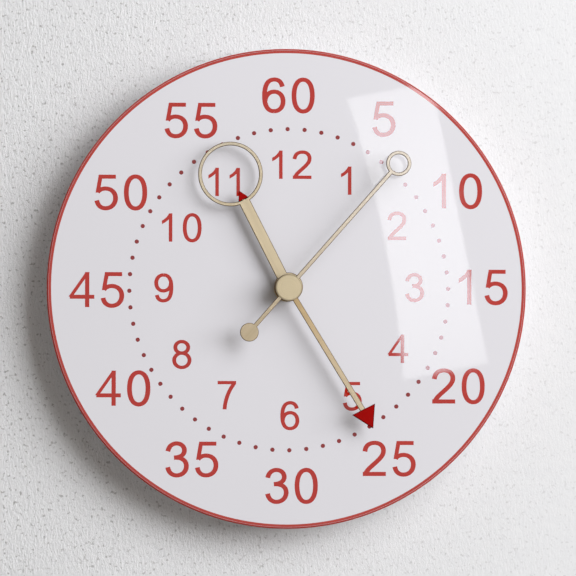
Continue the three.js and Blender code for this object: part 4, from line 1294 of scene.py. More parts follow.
@dataclass(frozen=True)
class PrintedDial:
    """The acrylic disc and everything printed on it."""

    radius: float = 127.0
    back: float = 17.5
    front: float = 21.5
    bore: float = 4.3
    bore_chamfer: float = 0.25
    rounding: float = 0.8
    line_start: float = 124.7
    line_end: float = 126.05
    minute_numbers: NumberRing = NumberRing(
        "minute_numbers", 103.1, (1.45, -0.45), -0.46, 18.5, 0.842, 1,
        (
            ("60", 0.0, -0.3), ("5", -0.9, 0.8), ("10", 0.3, 0.1), ("15", -0.4, 0.5), ("20", -0.3, -0.3),
            ("25", 0.3, -0.6), ("30", 0.0, -0.7), ("35", -1.0, -0.1), ("40", 0.8, -0.1), ("45", 1.1, 0.4),
            ("50", 0.2, 0.2), ("55", -0.2, 0.4),
        ),
    )
    hour_numbers: NumberRing = NumberRing(
        "hour_numbers", 66.0, (1.0, -0.2), -0.57, 15.0, 0.835, 5,
        (
            ("12", 2.1, -0.3), ("1", -2.1, -0.1), ("2", 0.4, -0.1), ("3", 0.7, 0.2), ("4", 0.5, 0.8),
            ("5", -0.1, 0.1), ("6", -0.3, -1.0), ("7", -0.5, 1.2), ("8", 0.1, -1.2), ("9", -0.3, 1.1),
            ("10", 0.6, -0.2), ("11", -0.85, -0.4),
        ),
    )
    minute_dots: DotRing = DotRing()
    acrylic: EdgedAcrylic = EdgedAcrylic(
        "edged_acrylic",
        white=linear(229, 227, 231),
        shade=linear(224, 222, 226),
        edge=linear(168, 52, 44),
        edge_radius=line_end,
    )
    number_ink: Coating = gloss_ink(
        "number_ink", linear(189, 33, 15), linear(182, 28, 12), 1.87, gloss_tint=(0.62, 0.93, 1.0)
    )
    dot_ink: Coating = gloss_ink(
        "dot_ink", linear(146, 40, 40), linear(138, 36, 36), 1.9, gloss_tint=(0.8, 0.86, 0.95)
    )
    line_ink: Coating = gloss_ink("line_ink", linear(184, 58, 50), linear(176, 52, 45), 1.75)

    def disc(self) -> bpy.types.Object:
        """Turns the disc: a flat ring with both rims rounded and a bore for the bushing.

        Returns:
            The disc, with a narrow flat land inside the rounding that keeps its face flat.
        """
        land = self.radius - self.rounding * DIAL_LAND
        corners = [
            (self.bore, self.back, 0.0),
            (self.radius, self.back, self.rounding),
            (self.radius, self.front, self.rounding),
            (land, self.front, 0.0),
            (self.bore + self.bore_chamfer, self.front, 0.0),
            (self.bore, self.front - self.bore_chamfer, 0.0),
        ]
        mesher = Mesher()
        mesher.lathe(rounded(corners, steps=6), segments=256, ring=True)
        return mesher.build("dial")

    def edge_line(self, pen: DigitPen) -> bpy.types.Object:
        """Prints the line round the edge of the face.

        Args:
            pen: the pen, which gives the ink's film.

        Returns:
            The line.
        """
        top, root = self.front + pen.film, self.front - pen.root
        start, end = self.line_start, self.line_end
        ink = Mesher()
        ink.lathe(np.array([[start, root], [end, root], [end, top], [start, top]]), segments=256, ring=True)
        return ink.build("edge_line")

    def dress(self) -> None:
        """Builds the disc and its print, and gives them their finishes."""
        pen = DigitPen()
        settle(self.disc(), "clock_body", "white_acrylic", self.acrylic.material(), "dial_disc")
        number_ink = self.number_ink.material()
        for piece, ink in (
            (self.minute_numbers.build(pen, self.front), number_ink),
            (self.hour_numbers.build(pen, self.front), number_ink),
            (self.minute_dots.build(pen, self.front), self.dot_ink.material()),
            (self.edge_line(pen), self.line_ink.material()),
        ):
            settle(piece, "clock_body", "red_enamel", ink)


def settle(
    piece: bpy.types.Object, body: str, slot: str, material: bpy.types.Material, *nodes: str
) -> None:
    """Gives a new piece its finish and its place among the bodies.

    Args:
        piece: the new piece.
        body: CAD body that it moves with.
        slot: material slot of the record that its finish belongs to; not used.
        material: its finish.
        *nodes: CAD nodes that it stands for.
    """
    piece.data.materials.clear()
    piece.data.materials.append(material)
    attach(piece, body)
    if nodes:
        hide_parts(*nodes)


def paint(node: str, material: bpy.types.Material) -> None:
    """Gives a CAD node that stays in view its finish.

    Args:
        node: name of the CAD node.
        material: its finish.
    """
    mesh = frame["nodes"][node].data
    mesh.materials.clear()
    mesh.materials.append(material)
    LOG.info("%s: %d faces, painted %s", node, len(mesh.polygons), material.name)


def arrowhead(width: float, base: float, apex: float, corner: float) -> np.ndarray:
    """Outline of a triangle that points up, with its three corners slightly rounded."""
    return rounded([(-width / 2, base, corner), (width / 2, base, corner), (0.0, apex, corner)], steps=3)


def hand_enamel(hand: str, face: float) -> Coating:
    """Matt red enamel of a hand's arrowhead, whose face lies at the given height, with painted shade on its
    edges.
    """
    light, dark = linear(160, 9, 7), linear(150, 7, 6)
    return Coating(f"red_enamel_{hand}", light, dark, 0.5, fine=1500.0, depth=0.004, ior=1.1, face=face)


@dataclass(frozen=True)
class HourHand:
    """Broad bar with a large ring, and a small red arrowhead on a tongue inside the ring.

    Its hub is a little off the spindle, so that it shows beside the cap.
    """

    clockwise: float = 333.1
    back: float = 27.9
    front: float = 28.7
    hub: float = 7.6
    hub_middle: tuple[float, float] = (0.47, 0.38)
    half: float = 3.0
    ring_place: float = 67.3
    ring_radius: float = 17.05
    band: float = 1.95
    tongue: float = 1.0
    tip_width: float = 5.9
    tip_length: float = 5.4
    tip_corner: float = 0.06
    tip_edge: float = 0.2
    tip_front: float = 29.4
    bore: float = 2.65
    edge: float = 0.4
    # Lighter than the minute hand's brass, and paler and cooler over the ring: painted light on one brass.
    brass: BrushedMetal = BrushedMetal(
        "brass_hour_hand", linear(210, 195, 165), linear(196, 181, 152), turn=clockwise, face=front,
        drift=(0.98, 1.03, 1.16), drift_span=(45.0, 84.0),
    )
    enamel: Coating = hand_enamel("hour", tip_front)

    def outlines(self) -> list[np.ndarray]:
        """Outline of the plate and of its two holes.

        Returns:
            The outer outline, the shaft's bore and the ring's opening with the tongue standing in it.
        """
        hub = open_circle(self.hub_middle, self.hub, self.half, steps=60, above=True)
        centre = (0.0, self.ring_place)
        ring = open_circle(centre, self.ring_radius, self.half, steps=110)
        inner = self.ring_radius - self.band
        opening = open_circle(centre, inner, self.tongue, steps=96)[::-1]
        rise = self.ring_place - inner + self.tip_length / 2
        tongue = np.array([[self.tongue, rise], [-self.tongue, rise]])
        bore = hole((0, 0), self.bore, steps=32)
        return [np.concatenate((hub, ring)), bore, np.concatenate((opening, tongue))]

    def dress(self) -> None:
        """Builds the plate and its arrowhead, and gives them their finishes."""
        heights = (self.back, self.front)
        plate = stamped("hour_hand_plate", self.outlines(), self.clockwise, heights, self.edge)
        settle(plate, "hour_assembly", "satin_brass", self.brass.material(), "hour_hand")
        base = self.ring_place - self.ring_radius + self.band
        outline = arrowhead(self.tip_width, base, base + self.tip_length, self.tip_corner)
        heights = (self.front, self.tip_front)
        tip = stamped("hour_hand_tip", [outline], self.clockwise, heights, self.tip_edge)
        settle(tip, "hour_assembly", "red_enamel", self.enamel.material(), "hour_arrowhead")


@dataclass(frozen=True)
class MinuteHand:
    """Narrow bar with a broad red arrowhead, which sits slightly askew on it."""

    clockwise: float = 148.6
    back: float = 30.5
    front: float = 31.3
    hub: float = 7.2
    half: float = 1.5
    length: float = 86.5
    tip_width: float = 13.5
    tip_length: float = 11.3
    tip_skew: float = 4.7
    tip_aside: float = 0.45
    tip_corner: float = 0.1
    tip_edge: float = 0.28
    tip_front: float = 32.0
    bore: float = 1.8
    edge: float = 0.38
    # Darker than the other hands' brass at the hub and paling far towards the tip: painted shade and painted
    # light on one brass.
    brass: BrushedMetal = BrushedMetal(
        "brass_minute_hand", linear(189, 163, 120), linear(175, 149, 106), turn=clockwise, face=front,
        drift=(1.35, 1.64, 2.45),
    )
    enamel: Coating = hand_enamel("minute", tip_front)

    def outlines(self) -> list[np.ndarray]:
        """Outline of the plate, up to under the arrowhead, and of its bore.

        Returns:
            The outer outline and the shaft's bore.
        """
        hub = open_circle((0, 0), self.hub, self.half, steps=48, above=True)
        end = self.length - self.tip_length / 2
        corners = np.array([[self.half, end], [-self.half, end]])
        return [np.concatenate((hub, corners)), hole((0, 0), self.bore, steps=28)]

    def dress(self) -> None:
        """Builds the plate and its arrowhead, and gives them their finishes."""
        heights = (self.back, self.front)
        bar = stamped("minute_hand_plate", self.outlines(), self.clockwise, heights, self.edge)
        settle(bar, "minute_assembly", "satin_brass", self.brass.material(), "minute_hand")
        outline = arrowhead(self.tip_width, -self.tip_length, 0.0, self.tip_corner)
        outline = turned_about(outline, self.tip_skew) + (self.tip_aside, self.length)
        heights = (self.front, self.tip_front)
        tip = stamped("minute_hand_tip", [outline], self.clockwise, heights, self.tip_edge)
        settle(tip, "minute_assembly", "red_enamel", self.enamel.material(), "minute_arrowhead")


@dataclass(frozen=True)
class SecondHand:
    """Slender bar through the cap, with a small ring at its tip and a round counterweight."""

    clockwise: float = 41.5
    back: float = 34.2
    front: float = 35.0
    half: float = 1.1
    ring_place: float = 87.6
    ring_radius: float = 6.65
    band: float = 1.85
    weight_place: float = 31.4
    weight_radius: float = 4.9
    edge: float = 0.36
    # Paler than the minute hand's brass and paling towards the ring: painted reflection on one brass.
    brass: BrushedMetal = BrushedMetal(
        "brass_second_hand", linear(194, 178, 150), linear(180, 164, 135), turn=clockwise, face=front,
        drift=(1.38, 1.52, 1.95), drift_span=(-35.0, 90.0),
    )

    def outlines(self) -> list[np.ndarray]:
        """Outline of the plate and of the hole in its ring.

        Returns:
            The outer outline and the ring's hole.
        """
        centre = (0.0, self.ring_place)
        weight = open_circle((0, -self.weight_place), self.weight_radius, self.half, steps=48, above=True)
        ring = open_circle(centre, self.ring_radius, self.half, steps=60)
        opening = hole(centre, self.ring_radius - self.band, steps=48)
        return [np.concatenate((weight, ring)), opening]

    def dress(self) -> None:
        """Builds the plate and gives it its finish."""
        heights = (self.back, self.front)
        bar = stamped("second_hand_plate", self.outlines(), self.clockwise, heights, self.edge)
        settle(bar, "second_assembly", "satin_brass", self.brass.material(), "second_hand")


@dataclass(frozen=True)
class CentreCap:
    """Turned brass cap with a bevelled rim, over the middle of the second hand."""

    radius: float = 6.95
    back: float = 32.9
    front: float = 35.5
    bevel_width: float = 0.9
    bevel_height: float = 0.05
    back_rounding: float = 0.1
    side_rounding: float = 0.08
    top_rounding: float = 0.15
    # Its side below the face takes a painted shade.
    brass: TurnedMetal = TurnedMetal("brass_cap", linear(205, 191, 160), linear(195, 181, 151), face=front)

    def dress(self) -> None:
        """Turns the cap: a flat top, a sloping bevel and a straight side, every corner slightly eased."""
        flat = self.radius - self.bevel_width
        corners = [
            (0.0, self.back, 0.0),
            (self.radius, self.back, self.back_rounding),
            (self.radius, self.front - self.bevel_height, self.side_rounding),
            (self.radius - 2 * self.side_rounding, self.front - self.bevel_height, 0.0),
            (flat, self.front, self.top_rounding),
            (flat - 2 * self.top_rounding, self.front, 0.0),
            (0.0, self.front, 0.0),
        ]
        mesher = Mesher()
        mesher.lathe(rounded(corners, closed=False, steps=3), segments=128)
        cap = mesher.build("turned_cap")
        settle(cap, "second_assembly", "satin_brass", self.brass.material(), "centre_cap")


@dataclass(frozen=True)
class SharedFinishes:
    """Finishes of the fittings on the spindle and of all that lies behind the dial."""

    brass: TurnedMetal = TurnedMetal("turned_brass", linear(205, 178, 110), linear(160, 134, 74))
    steel: BrushedMetal = BrushedMetal(
        "drawn_steel", linear(200, 202, 206), linear(150, 152, 156), 0.32, depth=0.004
    )
    black: Coating = Coating("black_moulding", linear(34, 35, 37), linear(26, 27, 29), 0.5, depth=0.02)
    white: Coating = Coating("white_moulding", linear(224, 222, 213), linear(214, 211, 201))
    rubber: Coating = Coating("gasket_rubber", linear(28, 28, 30), linear(20, 20, 22), 0.8, depth=0.02)
    copper: BrushedMetal = BrushedMetal(
        "wound_copper", linear(196, 112, 62), linear(120, 58, 28), 0.35, metallic=0.85, turn=90.0,
        along=100.0, across=9000.0, depth=0.03,
    )
    magnet: Coating = Coating("sintered_magnet", linear(82, 82, 86), linear(64, 64, 68), 0.5)
    board: Coating = Coating("circuit_laminate", linear(168, 128, 72), linear(148, 108, 56), 0.5)
    epoxy: Coating = Coating("epoxy_drop", linear(24, 24, 27), linear(18, 18, 20), 0.2)
    sleeve: Coating = Coating("cell_blue", linear(44, 80, 138), linear(38, 72, 126), 0.28, depth=0.004)
    band: Coating = Coating("cell_silver", linear(190, 192, 196), linear(176, 178, 184), 0.3, depth=0.004)

    def materials(self) -> dict[str, bpy.types.Material]:
        """Makes the material of every finish, by the finish's field name."""
        return {finish.name: getattr(self, finish.name).material() for finish in fields(self)}


@dataclass(frozen=True)
class SpindleFittings:
    """Everything between the dial and the hands, and the arbors that carry them."""

    brass_nodes: tuple[str, ...] = ("threaded_bushing", "second_collet", "cannon_pinion", "centre_wheel")
    edged_nodes: tuple[tuple[str, float], ...] = (
        ("dial_nut", 0.3), ("minute_nut", 0.15), ("dial_washer", 0.08),
    )
    gasket_edge: float = 0.25

    def dress(self, materials: dict[str, bpy.types.Material]) -> None:
        """Finishes the fittings.

        Args:
            materials: finish name to material.
        """
        for node in self.brass_nodes:
            paint(node, materials["brass"])
        for node, edge in self.edged_nodes:
            body = "minute_assembly" if node == "minute_nut" else "clock_body"
            settle(softened_copy(node, edge), body, "turned_brass", materials["brass"], node)
        paint("second_arbor", materials["steel"])
        gasket = softened_copy("rubber_gasket", self.gasket_edge)
        settle(gasket, "clock_body", "rubber", materials["rubber"], "rubber_gasket")


@dataclass(frozen=True)
class MovementHousing:
    """Case, rear cover, hanger ear and setting knob of the movement."""

    moulded: tuple[tuple[str, float], ...] = (
        ("movement_case", 0.3), ("rear_cover", 0.3), ("hanger_ear", 0.35),
    )
    knob_edge: float = 0.12

    def dress(self, materials: dict[str, bpy.types.Material]) -> None:
        """Finishes the housing.

        Args:
            materials: finish name to material.
        """
        for node, edge in self.moulded:
            settle(softened_copy(node, edge), "clock_body", "black_plastic", materials["black"], node)
        knob = softened_copy("setting_knob", self.knob_edge)
        settle(knob, "knob_axis", "white_plastic", materials["white"], "setting_knob")


@dataclass(frozen=True)
class PowerSupply:
    """Dry cell and its two contacts.

    Attributes:
        axis_y, axis_height: the cell's axis, which runs along x.
        radius: radius of the sleeve.
        base, nub_end: where the cell ends on the left and on the right.
        nub_radius, nub_length: size of the nub.
        shoulder_drop: how far the can's shoulder lies behind the foot of the nub.
        base_bevel, shoulder_bevel: length of a bevel of the can along the axis and across it.
        nub_foot, foot_rounding, nub_rounding: width of the step round the nub, and its roundings.
        wrap, wrap_lap: thickness of the sleeve over the can, and how far it laps inwards.
        band_width, band_seam: width of the plain band, and the seam before it.
        rounding: rounding of the sleeve's ends and of the can.
        contact_edge: rounding of the contacts' edges.
        segments: steps round the cell.
    """

    axis_y: float = -19.0
    axis_height: float = 7.5
    radius: float = 7.1
    base: float = -24.6
    nub_end: float = 25.4
    nub_radius: float = 2.75
    nub_length: float = 1.2
    shoulder_drop: float = 0.2
    base_bevel: tuple[float, float] = (0.5, 0.65)
    shoulder_bevel: tuple[float, float] = (0.4, 0.85)
    nub_foot: float = 0.8
    foot_rounding: float = 0.2
    nub_rounding: float = 0.4
    wrap: float = 0.35
    wrap_lap: float = 0.5
    band_width: float = 13.5
    band_seam: float = 0.02
    rounding: float = 0.3
    contact_edge: float = 0.08
    segments: int = 64

    def revolve(self, name: str, profile: np.ndarray, ring: bool) -> bpy.types.Object:
        """Turns a profile about the cell's own axis, which lies along x.

        Formula: a profile point at s along it and of radius r becomes (s, r cos t, r sin t), plus the axis.

        Args:
            name: the piece's name.
            profile: rows of place along x and radius.
            ring: True where the profile closes on itself.

        Returns:
            The piece.
        """
        angle = np.arange(self.segments) * FULL_TURN / self.segments
        along, radius = profile[:, :1], profile[:, 1:]
        mesher = Mesher()
        points = stand(along, self.axis_y + radius * np.cos(angle), self.axis_height + radius * np.sin(angle))
        mesher.grid(points, around_u=ring, around_v=True)
        return mesher.build(name)

    def dress(self, materials: dict[str, bpy.types.Material]) -> None:
        """Builds the cell with its can, its printed sleeve and a plain band, and finishes the contacts.

        Args:
            materials: finish name to material.
        """
        shoulder = self.nub_end - self.nub_length
        can_radius, rim = self.radius - self.wrap, shoulder - self.shoulder_drop
        can = [
            (self.base, 0.0, 0.0),
            (self.base, can_radius - self.base_bevel[1], self.rounding),
            (self.base + self.base_bevel[0], can_radius, self.rounding),
            (rim - self.shoulder_bevel[0], can_radius, self.rounding),
            (rim, can_radius - self.shoulder_bevel[1], self.rounding),
            (rim, self.nub_radius + self.nub_foot, self.foot_rounding),
            (shoulder, self.nub_radius, self.foot_rounding),
            (self.nub_end, self.nub_radius, self.nub_rounding),
            (self.nub_end, 0.0, 0.0),
        ]
        metal = self.revolve("cell_can", rounded(can, closed=False), ring=False)
        settle(metal, "cell", "steel", materials["steel"], "dry_cell")
        wrap_end = shoulder - self.wrap
        split = wrap_end - self.band_width
        inner = self.radius - self.wrap_lap
        for name, first, last in (
            ("sleeve", self.base + self.rounding, split),
            ("band", split + self.band_seam, wrap_end),
        ):
            profile = [
                (first, inner, 0.0),
                (first, self.radius, self.rounding),
                (last, self.radius, self.rounding),
                (last, inner, 0.0),
            ]
            piece = self.revolve(f"cell_{name}", rounded(profile), ring=True)
            settle(piece, "cell", "cell_sleeve", materials[name])
        for node in ("positive_contact", "negative_contact"):
            settle(softened_copy(node, self.contact_edge), "clock_body", "steel", materials["steel"], node)


@dataclass(frozen=True)
class GearTrain:
    """Wheels, bridge, motor and board inside the case."""

    finishes: tuple[tuple[str, tuple[str, ...]], ...] = (
        (
            "white",
            (
                "second_wheel", "intermediate_wheel", "third_wheel", "motion_work_wheel", "hour_wheel",
                "train_bridge",
            ),
        ),
        ("steel", ("rotor_pinion", "stator_plate", "coil_core", "quartz_crystal")),
        ("magnet", ("rotor_magnet",)),
        ("black", ("coil_bobbin",)),
        ("copper", ("coil_winding",)),
        ("board", ("circuit_board",)),
        ("epoxy", ("chip_drop",)),
    )

    def dress(self, materials: dict[str, bpy.types.Material]) -> None:
        """Paints each node with its finish.

        Args:
            materials: finish name to material.
        """
        for finish, nodes in self.finishes:
            for node in nodes:
                paint(node, materials[finish])


@dataclass(frozen=True)
class PaintedWall:
    """Wall behind the clock, with the strokes and pits of a rolled paint, seen from its front only.

    Attributes:
        reach: how far it reaches from the clock, in millimetres.
        gap: how far it lies behind the clock's back, in millimetres.
        white, shade, pit: colour of the paint, of its darker strokes and of its pits.
        stroke_across, stroke_along: fineness of the strokes in the two directions.
        stroke_height: height of the strokes.
        pit_fineness: fineness of the pits.
        pit_levels: levels of the noise where a pit starts and where it is deepest.
        coarse_span: places to the left and right in metres between which the grain weakens towards the right,
            standing in for the light, which grazes the wall less there; in the pits' colour this is painted
            shade.
        coarse_right: strength of the grain past the right one.
        roughness, ior: gloss of the paint.
    """

    reach: float = 2500.0
    gap: float = 0.4
    white: Colour = linear(237, 237, 237)
    shade: Colour = linear(231, 231, 232)
    pit: Colour = linear(184, 182, 181)
    stroke_across: float = 900.0
    stroke_along: float = 380.0
    stroke_height: float = 0.75
    pit_fineness: float = 560.0
    pit_levels: tuple[float, float] = (0.40, 0.31)
    coarse_span: tuple[float, float] = (-0.15, 0.15)
    coarse_right: float = 0.3
    roughness: float = 0.75
    ior: float = 1.4

    def paint(self) -> bpy.types.Material:
        """Makes the paint, clear from behind.

        Returns:
            The material.
        """
        surface = Surface("rolled_paint", Roughness=self.roughness, IOR=self.ior)
        wiring = surface.wiring
        strokes = surface.effect(
            Group.BRUSHING, surface.place, Across=self.stroke_across, Along=self.stroke_along
        )
        tone = wiring.blend(strokes.outputs["Tone"], self.shade, self.white)
        # The grain's bump and its pits fade towards the right, standing in for the light, which grazes the
        # wall more on the left; the pits are the paint's own, their darker colour on the left is painted
        # shade.
        grazing_share = wiring.spread(wiring.axes(surface.place)["X"], 1.0, self.coarse_right, *self.coarse_span)
        grain = surface.effect(Group.GRAIN, surface.place, Fine=self.pit_fineness)
        pits = wiring.spread(grain.outputs["Speckle"], 0.0, grazing_share, *self.pit_levels)
        surface.feed("Base Color", wiring.blend(pits, tone, self.pit))
        surface.bump(strokes.outputs["Line"], self.stroke_height, grazing_share)
        behind = wiring.node("ShaderNodeNewGeometry").outputs["Backfacing"]
        clear = wiring.node("ShaderNodeBsdfTransparent").outputs[0]
        mix = wiring.node("ShaderNodeMixShader", {0: behind, 1: surface.shader.outputs[0], 2: clear})
        wiring.link(mix.outputs[0], wiring.tree.nodes["Material Output"], "Surface")
        return surface.material

    def build(self) -> None:
        """Adds the wall, which mirrors and glass don't see."""
        span = np.linspace(-self.reach, self.reach, 3)
        x, y = np.meshgrid(span, span, indexing="ij")
        mesher = Mesher()
        mesher.grid(stand(x, y, -self.gap))
        wall = mesher.build("wall", closed=False)
        wall.data.materials.append(self.paint())
        wall.visible_glossy = False
        wall.visible_transmission = False


@dataclass(frozen=True)
class Studio:
    """Lamps, mirrored softbox, world and camera, in metres.

    Attributes:
        face: height of the dial's face above the wall.
        camera_distance, camera_azimuth, camera_elevation: the camera's place, its angles in degrees.
        frame_width: width of the picture at the dial.
        aim: place on the dial that the camera looks at.
        sensor_width: width of the camera's sensor in millimetres.
        view_end: how far the camera sees.
        key_slope, near_slope: how far a lamp stands to the right and up for each metre in front.
        key_distance, near_distance: its distance from the dial.
        key_size, near_size, rear_size: width and height of a lamp.
        key_power, near_power, rear_power, movement_power: power of a lamp in watts.
        key_colour: tint of the lamps in front.
        rear_place: place of the lamps behind the wall.
        lit_front: a piece whose back lies lower than this is lit by the movement lamp.
        polished: pieces that mirror the softbox, but none of the lamps.
        glint_place, glint_size, glint_lean: the softbox's mirror image on the dial, its lean in degrees.
        glint_bow: how far its left edge bows inwards, in widths.
        glint_distance: how far the softbox stands from its mirror image.
        glint_radiance: its light at its brightest place.
        glint_ends: share of that light at its lower and upper end.
        glint_crest: places along it, and the share of light there.
        glint_rows: points along each of its sides.
        ambient, mirrored: light of the world on matt surfaces and in glossy ones.
        fill_tilt, mirrored_tilt: how that light grows to the right, to the back and upwards.
        fill_colour: its tint.
        backdrop: light of the world as the camera sees it.
    """

    face: float = 0.0215
    camera_distance: float = 2.2
    camera_azimuth: float = -3.9
    camera_elevation: float = -1.95
    frame_width: float = 0.3046
    aim: tuple[float, float] = (0.0004, 0.0002)
    sensor_width: float = 36.0
    view_end: float = 50.0
    key_slope: tuple[float, float] = (1.11, 0.305)
    key_distance: float = 3.6
    key_size: tuple[float, float] = (3.24, 1.8)
    key_power: float = 109.5
    key_colour: Colour = (0.985, 1.0, 1.035)
    near_slope: tuple[float, float] = (0.62, 0.72)
    near_distance: float = 1.35
    near_size: tuple[float, float] = (0.7, 0.7)
    near_power: float = 6.15
    rear_place: tuple[float, float, float] = (-0.5, 1.3, 0.9)
    rear_size: tuple[float, float] = (1.0, 1.0)
    rear_power: float = 1.5
    movement_power: float = 19.0
    lit_front: float = 0.0216
    polished: tuple[str, ...] = ("dial", "edge_line", "minute_numbers", "hour_numbers", "minute_dots")
    glint_place: tuple[float, float] = (0.0693, 0.0307)
    glint_size: tuple[float, float] = (0.046, 0.152)
    glint_bow: float = 0.104
    glint_lean: float = 11.3
    glint_distance: float = 1.5
    glint_radiance: float = 7.0
    glint_ends: tuple[float, float] = (0.7, 0.75)
    glint_crest: tuple[tuple[float, float], ...] = ((0.3, 0.95), (0.6, 1.0))
    glint_rows: int = 25
    ambient: float = 0.265
    mirrored: float = 0.94
    fill_tilt: tuple[float, float, float] = (0.9, -0.1, 0.3)
    mirrored_tilt: tuple[float, float, float] = (0.27, 0.46, 0.09)
    fill_colour: Colour = (1.0, 0.95, 0.88)
    backdrop: float = 0.9

    def eye(self) -> np.ndarray:
        """Place of the camera: from the aim, out along the azimuth and elevation.

        Returns:
            Its x, y and z.
        """
        turn, rise = math.radians(self.camera_azimuth), math.radians(self.camera_elevation)
        out = np.array([math.sin(turn) * math.cos(rise), -math.cos(turn) * math.cos(rise), math.sin(rise)])
        return self.middle() + self.camera_distance * out

    def middle(self) -> np.ndarray:
        """Point that the camera looks at, on the dial's face."""
        return np.array([self.aim[0], -self.face, self.aim[1]])

    def centre(self) -> np.ndarray:
        """Middle of the dial's face, which the lamps point at."""
        return np.array([0.0, -self.face, 0.0])

    @staticmethod
    def turn_towards(holder: bpy.types.Object, place: np.ndarray, target: np.ndarray) -> None:
        """Sets a lamp or camera at a place, upright and facing a target.

        Args:
            holder: the lamp or camera.
            place: where it stands.
            target: what it faces.
        """
        gaze = (target - place) / np.linalg.norm(target - place)
        side = np.cross(gaze, np.array([0.0, 0.0, 1.0]))
        side /= np.linalg.norm(side)
        matrix = np.eye(4)
        matrix[:3] = np.stack((side, np.cross(side, gaze), -gaze, place), axis=1)
        holder.matrix_world = Matrix(matrix.tolist())

    def add_camera(self) -> None:
        """Adds the camera, with a lens that spans the frame's width at the dial."""
        camera = bpy.data.cameras.new("camera")
        camera.sensor_width = self.sensor_width
        camera.lens = camera.sensor_width * self.camera_distance / self.frame_width
        camera.clip_end = self.view_end
        holder = bpy.data.objects.new("camera", camera)
        bpy.context.scene.collection.objects.link(holder)
        self.turn_towards(holder, self.eye(), self.middle())
        bpy.context.scene.camera = holder

    def add_lamp(
        self, name: str, place: np.ndarray, size: tuple[float, float], power: float
    ) -> bpy.types.Object:
        """Adds a rectangular lamp that faces the middle of the dial.

        Args:
            name: its name.
            place: where it stands.
            size: its width and height.
            power: its power in watts.

        Returns:
            The lamp.
        """
        lamp = bpy.data.lights.new(name, "AREA")
        lamp.shape = "RECTANGLE"
        lamp.size, lamp.size_y = size
        lamp.energy = power
        holder = bpy.data.objects.new(name, lamp)
        bpy.context.scene.collection.objects.link(holder)
        self.turn_towards(holder, place, self.centre())
        return holder

    def add_lamps(self) -> None:
        """Adds the broad key lamp, a smaller one nearer the front, and two lamps behind the wall.

        The two in front have a twin each, which gives the gleam of all that isn't the disc or its print.
        """
        gleaming = bpy.data.collections.new("gleaming_pieces")
        for name, (right, up), distance, size, power in (
            ("key_lamp", self.key_slope, self.key_distance, self.key_size, self.key_power),
            ("near_lamp", self.near_slope, self.near_distance, self.near_size, self.near_power),
        ):
            slope = np.array([right, -1.0, up])
            place = self.centre() + distance * slope / np.linalg.norm(slope)
            for twin in (False, True):
                lamp = self.add_lamp(f"{name}_gleam" if twin else name, place, size, power)
                lamp.data.color = self.key_colour
                lamp.visible_diffuse = not twin
                lamp.visible_glossy = twin
            lamp.light_linking.receiver_collection = gleaming
        blockers = bpy.data.collections.new("rear_lamp_blockers")
        for name, power in (("rear_lamp", self.rear_power), ("movement_lamp", self.movement_power)):
            lamp = self.add_lamp(name, np.array(self.rear_place), self.rear_size, power)
            lamp.light_linking.blocker_collection = blockers
        lamp.light_linking.receiver_collection = bpy.data.collections.new("movement_pieces")
        lamp.data.cycles.max_bounces = 0

    def let_rear_lamps_through(self) -> None:
        """Lets the rear lamps through the wall and gives each lamp the pieces that it lights.

        The movement lamp lights the disc and what lies behind it, and the twins of the two lamps in front
        light all but the disc and its print.
        """
        for piece in bpy.context.scene.objects:
            if piece.type != "MESH" or piece.name == "softbox_card":
                continue
            if piece.name not in self.polished:
                bpy.data.collections["gleaming_pieces"].objects.link(piece)
            if piece.name == "wall":
                continue
            bpy.data.collections["rear_lamp_blockers"].objects.link(piece)
            if min(corner[1] for corner in piece.bound_box) > -self.lit_front:
                bpy.data.collections["movement_pieces"].objects.link(piece)

    def add_card(self) -> None:
        """Adds the narrow softbox that the dial mirrors, which only glossy surfaces see.

        Formula: it stands on the ray from the camera to the glint, turned back by the dial, and is larger
        than the glint by (D + L) / D, with D and L the glint's distances to camera and card. Its left edge
        bows inwards by the bow times its width times 1 - (2v)^2, with v its place along the card. Its light
        follows a curve of that place.
        """
        glint = np.array([self.glint_place[0], -self.face, self.glint_place[1]])
        ray = glint - self.eye()
        away = ray * np.array([1.0, -1.0, 1.0])
        place = glint + self.glint_distance * away / np.linalg.norm(away)
        lean = math.radians(self.glint_lean)
        growth = 1 + self.glint_distance / np.linalg.norm(ray)
        along = growth * self.glint_size[1] * np.array([-math.sin(lean), 0.0, math.cos(lean)])
        across = growth * self.glint_size[0] * np.array([math.cos(lean), 0.0, math.sin(lean)])
        share = np.linspace(-0.5, 0.5, self.glint_rows)
        u, v = np.meshgrid(share, share, indexing="ij")
        u = u + self.glint_bow * (0.5 - u) * (1 - 4 * v**2)
        mesher = Mesher()
        mesher.grid(place + u[..., None] * across + v[..., None] * along)
        card = mesher.build("softbox_card", closed=False)
        surface = Surface("softbox_light", Roughness=1.0)
        wiring = surface.wiring
        height = card.data.attributes.new("along", "FLOAT", "POINT")
        corners = np.empty(len(card.data.vertices) * 3, dtype=np.float32)
        card.data.vertices.foreach_get("co", corners)
        rise = (corners.reshape(-1, 3) - place) @ along / (along @ along)
        height.data.foreach_set("value", (rise + 0.5).astype(np.float32))
        graded = wiring.node("ShaderNodeAttribute", attribute_name="along").outputs["Fac"]
        ramp = wiring.node("ShaderNodeFloatCurve", {"Value": graded})
        curve = ramp.mapping.curves[0]
        for point, light in zip(curve.points, self.glint_ends):
            point.location[1] = light
        for place_along, light in self.glint_crest:
            curve.points.new(place_along, light)
        ramp.mapping.update()
        glow = wiring.node("ShaderNodeEmission")
        wiring.link(wiring.maths("MULTIPLY", ramp.outputs[0], self.glint_radiance), glow, "Strength")
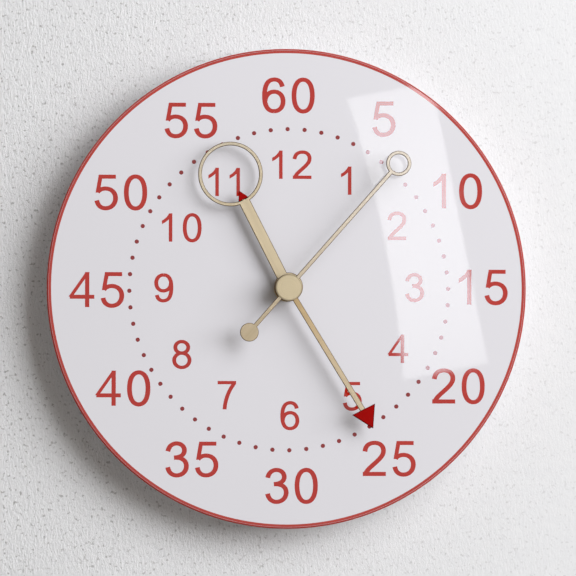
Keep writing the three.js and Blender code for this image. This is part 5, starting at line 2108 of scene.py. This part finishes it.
        wiring.link(glow.outputs[0], wiring.tree.nodes["Material Output"], "Surface")
        card.data.materials.append(surface.material)
        for ray_kind in ("camera", "diffuse", "transmission", "shadow"):
            setattr(card, f"visible_{ray_kind}", False)

    def add_world(self) -> None:
        """Lights the world: pale to the camera, and for the rest a warm fill, stronger on the lamps' side.

        Formula: the fill is its level times one plus the direction's dot product with the tilt. Level
        and tilt are others for mirrored light, which grows towards the sides.
        """
        world = bpy.data.worlds.new("studio")
        bpy.context.scene.world = world
        world.use_nodes = True
        wiring = Wiring(world.node_tree)
        background = world.node_tree.nodes["Background"]
        path = wiring.node("ShaderNodeLightPath")
        shiny = wiring.maths("MAXIMUM", path.outputs["Is Glossy Ray"], path.outputs["Is Transmission Ray"])
        level = wiring.spread(shiny, self.ambient, self.mirrored)
        direction = wiring.node("ShaderNodeTexCoord").outputs["Generated"]
        lean = wiring.blend(shiny, self.fill_tilt, self.mirrored_tilt)
        fill = wiring.maths("MULTIPLY_ADD", wiring.vectors("DOT_PRODUCT", direction, lean), level, level)
        extra = wiring.maths("SUBTRACT", self.backdrop, fill)
        seen = wiring.maths("MULTIPLY_ADD", extra, path.outputs["Is Camera Ray"], fill)
        colour = wiring.blend(path.outputs["Is Camera Ray"], self.fill_colour, (1.0, 1.0, 1.0))
        wiring.link(colour, background, "Color")
        wiring.link(seen, background, "Strength")

    def build(self) -> None:
        """Sets up the whole studio."""
        bpy.context.scene.view_settings.view_transform = "Standard"
        self.add_world()
        PaintedWall().build()
        self.add_lamps()
        self.add_card()
        self.add_camera()


def main() -> None:
    """Builds the studio and the clock."""
    logging.basicConfig(level=logging.INFO, format="%(message)s")
    make_groups()
    studio = Studio()
    studio.build()
    for shown in (PrintedDial(), HourHand(), MinuteHand(), SecondHand(), CentreCap()):
        shown.dress()
    materials = SharedFinishes().materials()
    for hidden in (SpindleFittings(), MovementHousing(), PowerSupply(), GearTrain()):
        hidden.dress(materials)
    studio.let_rear_lamps_through()


if __name__ == "__main__":
    main()
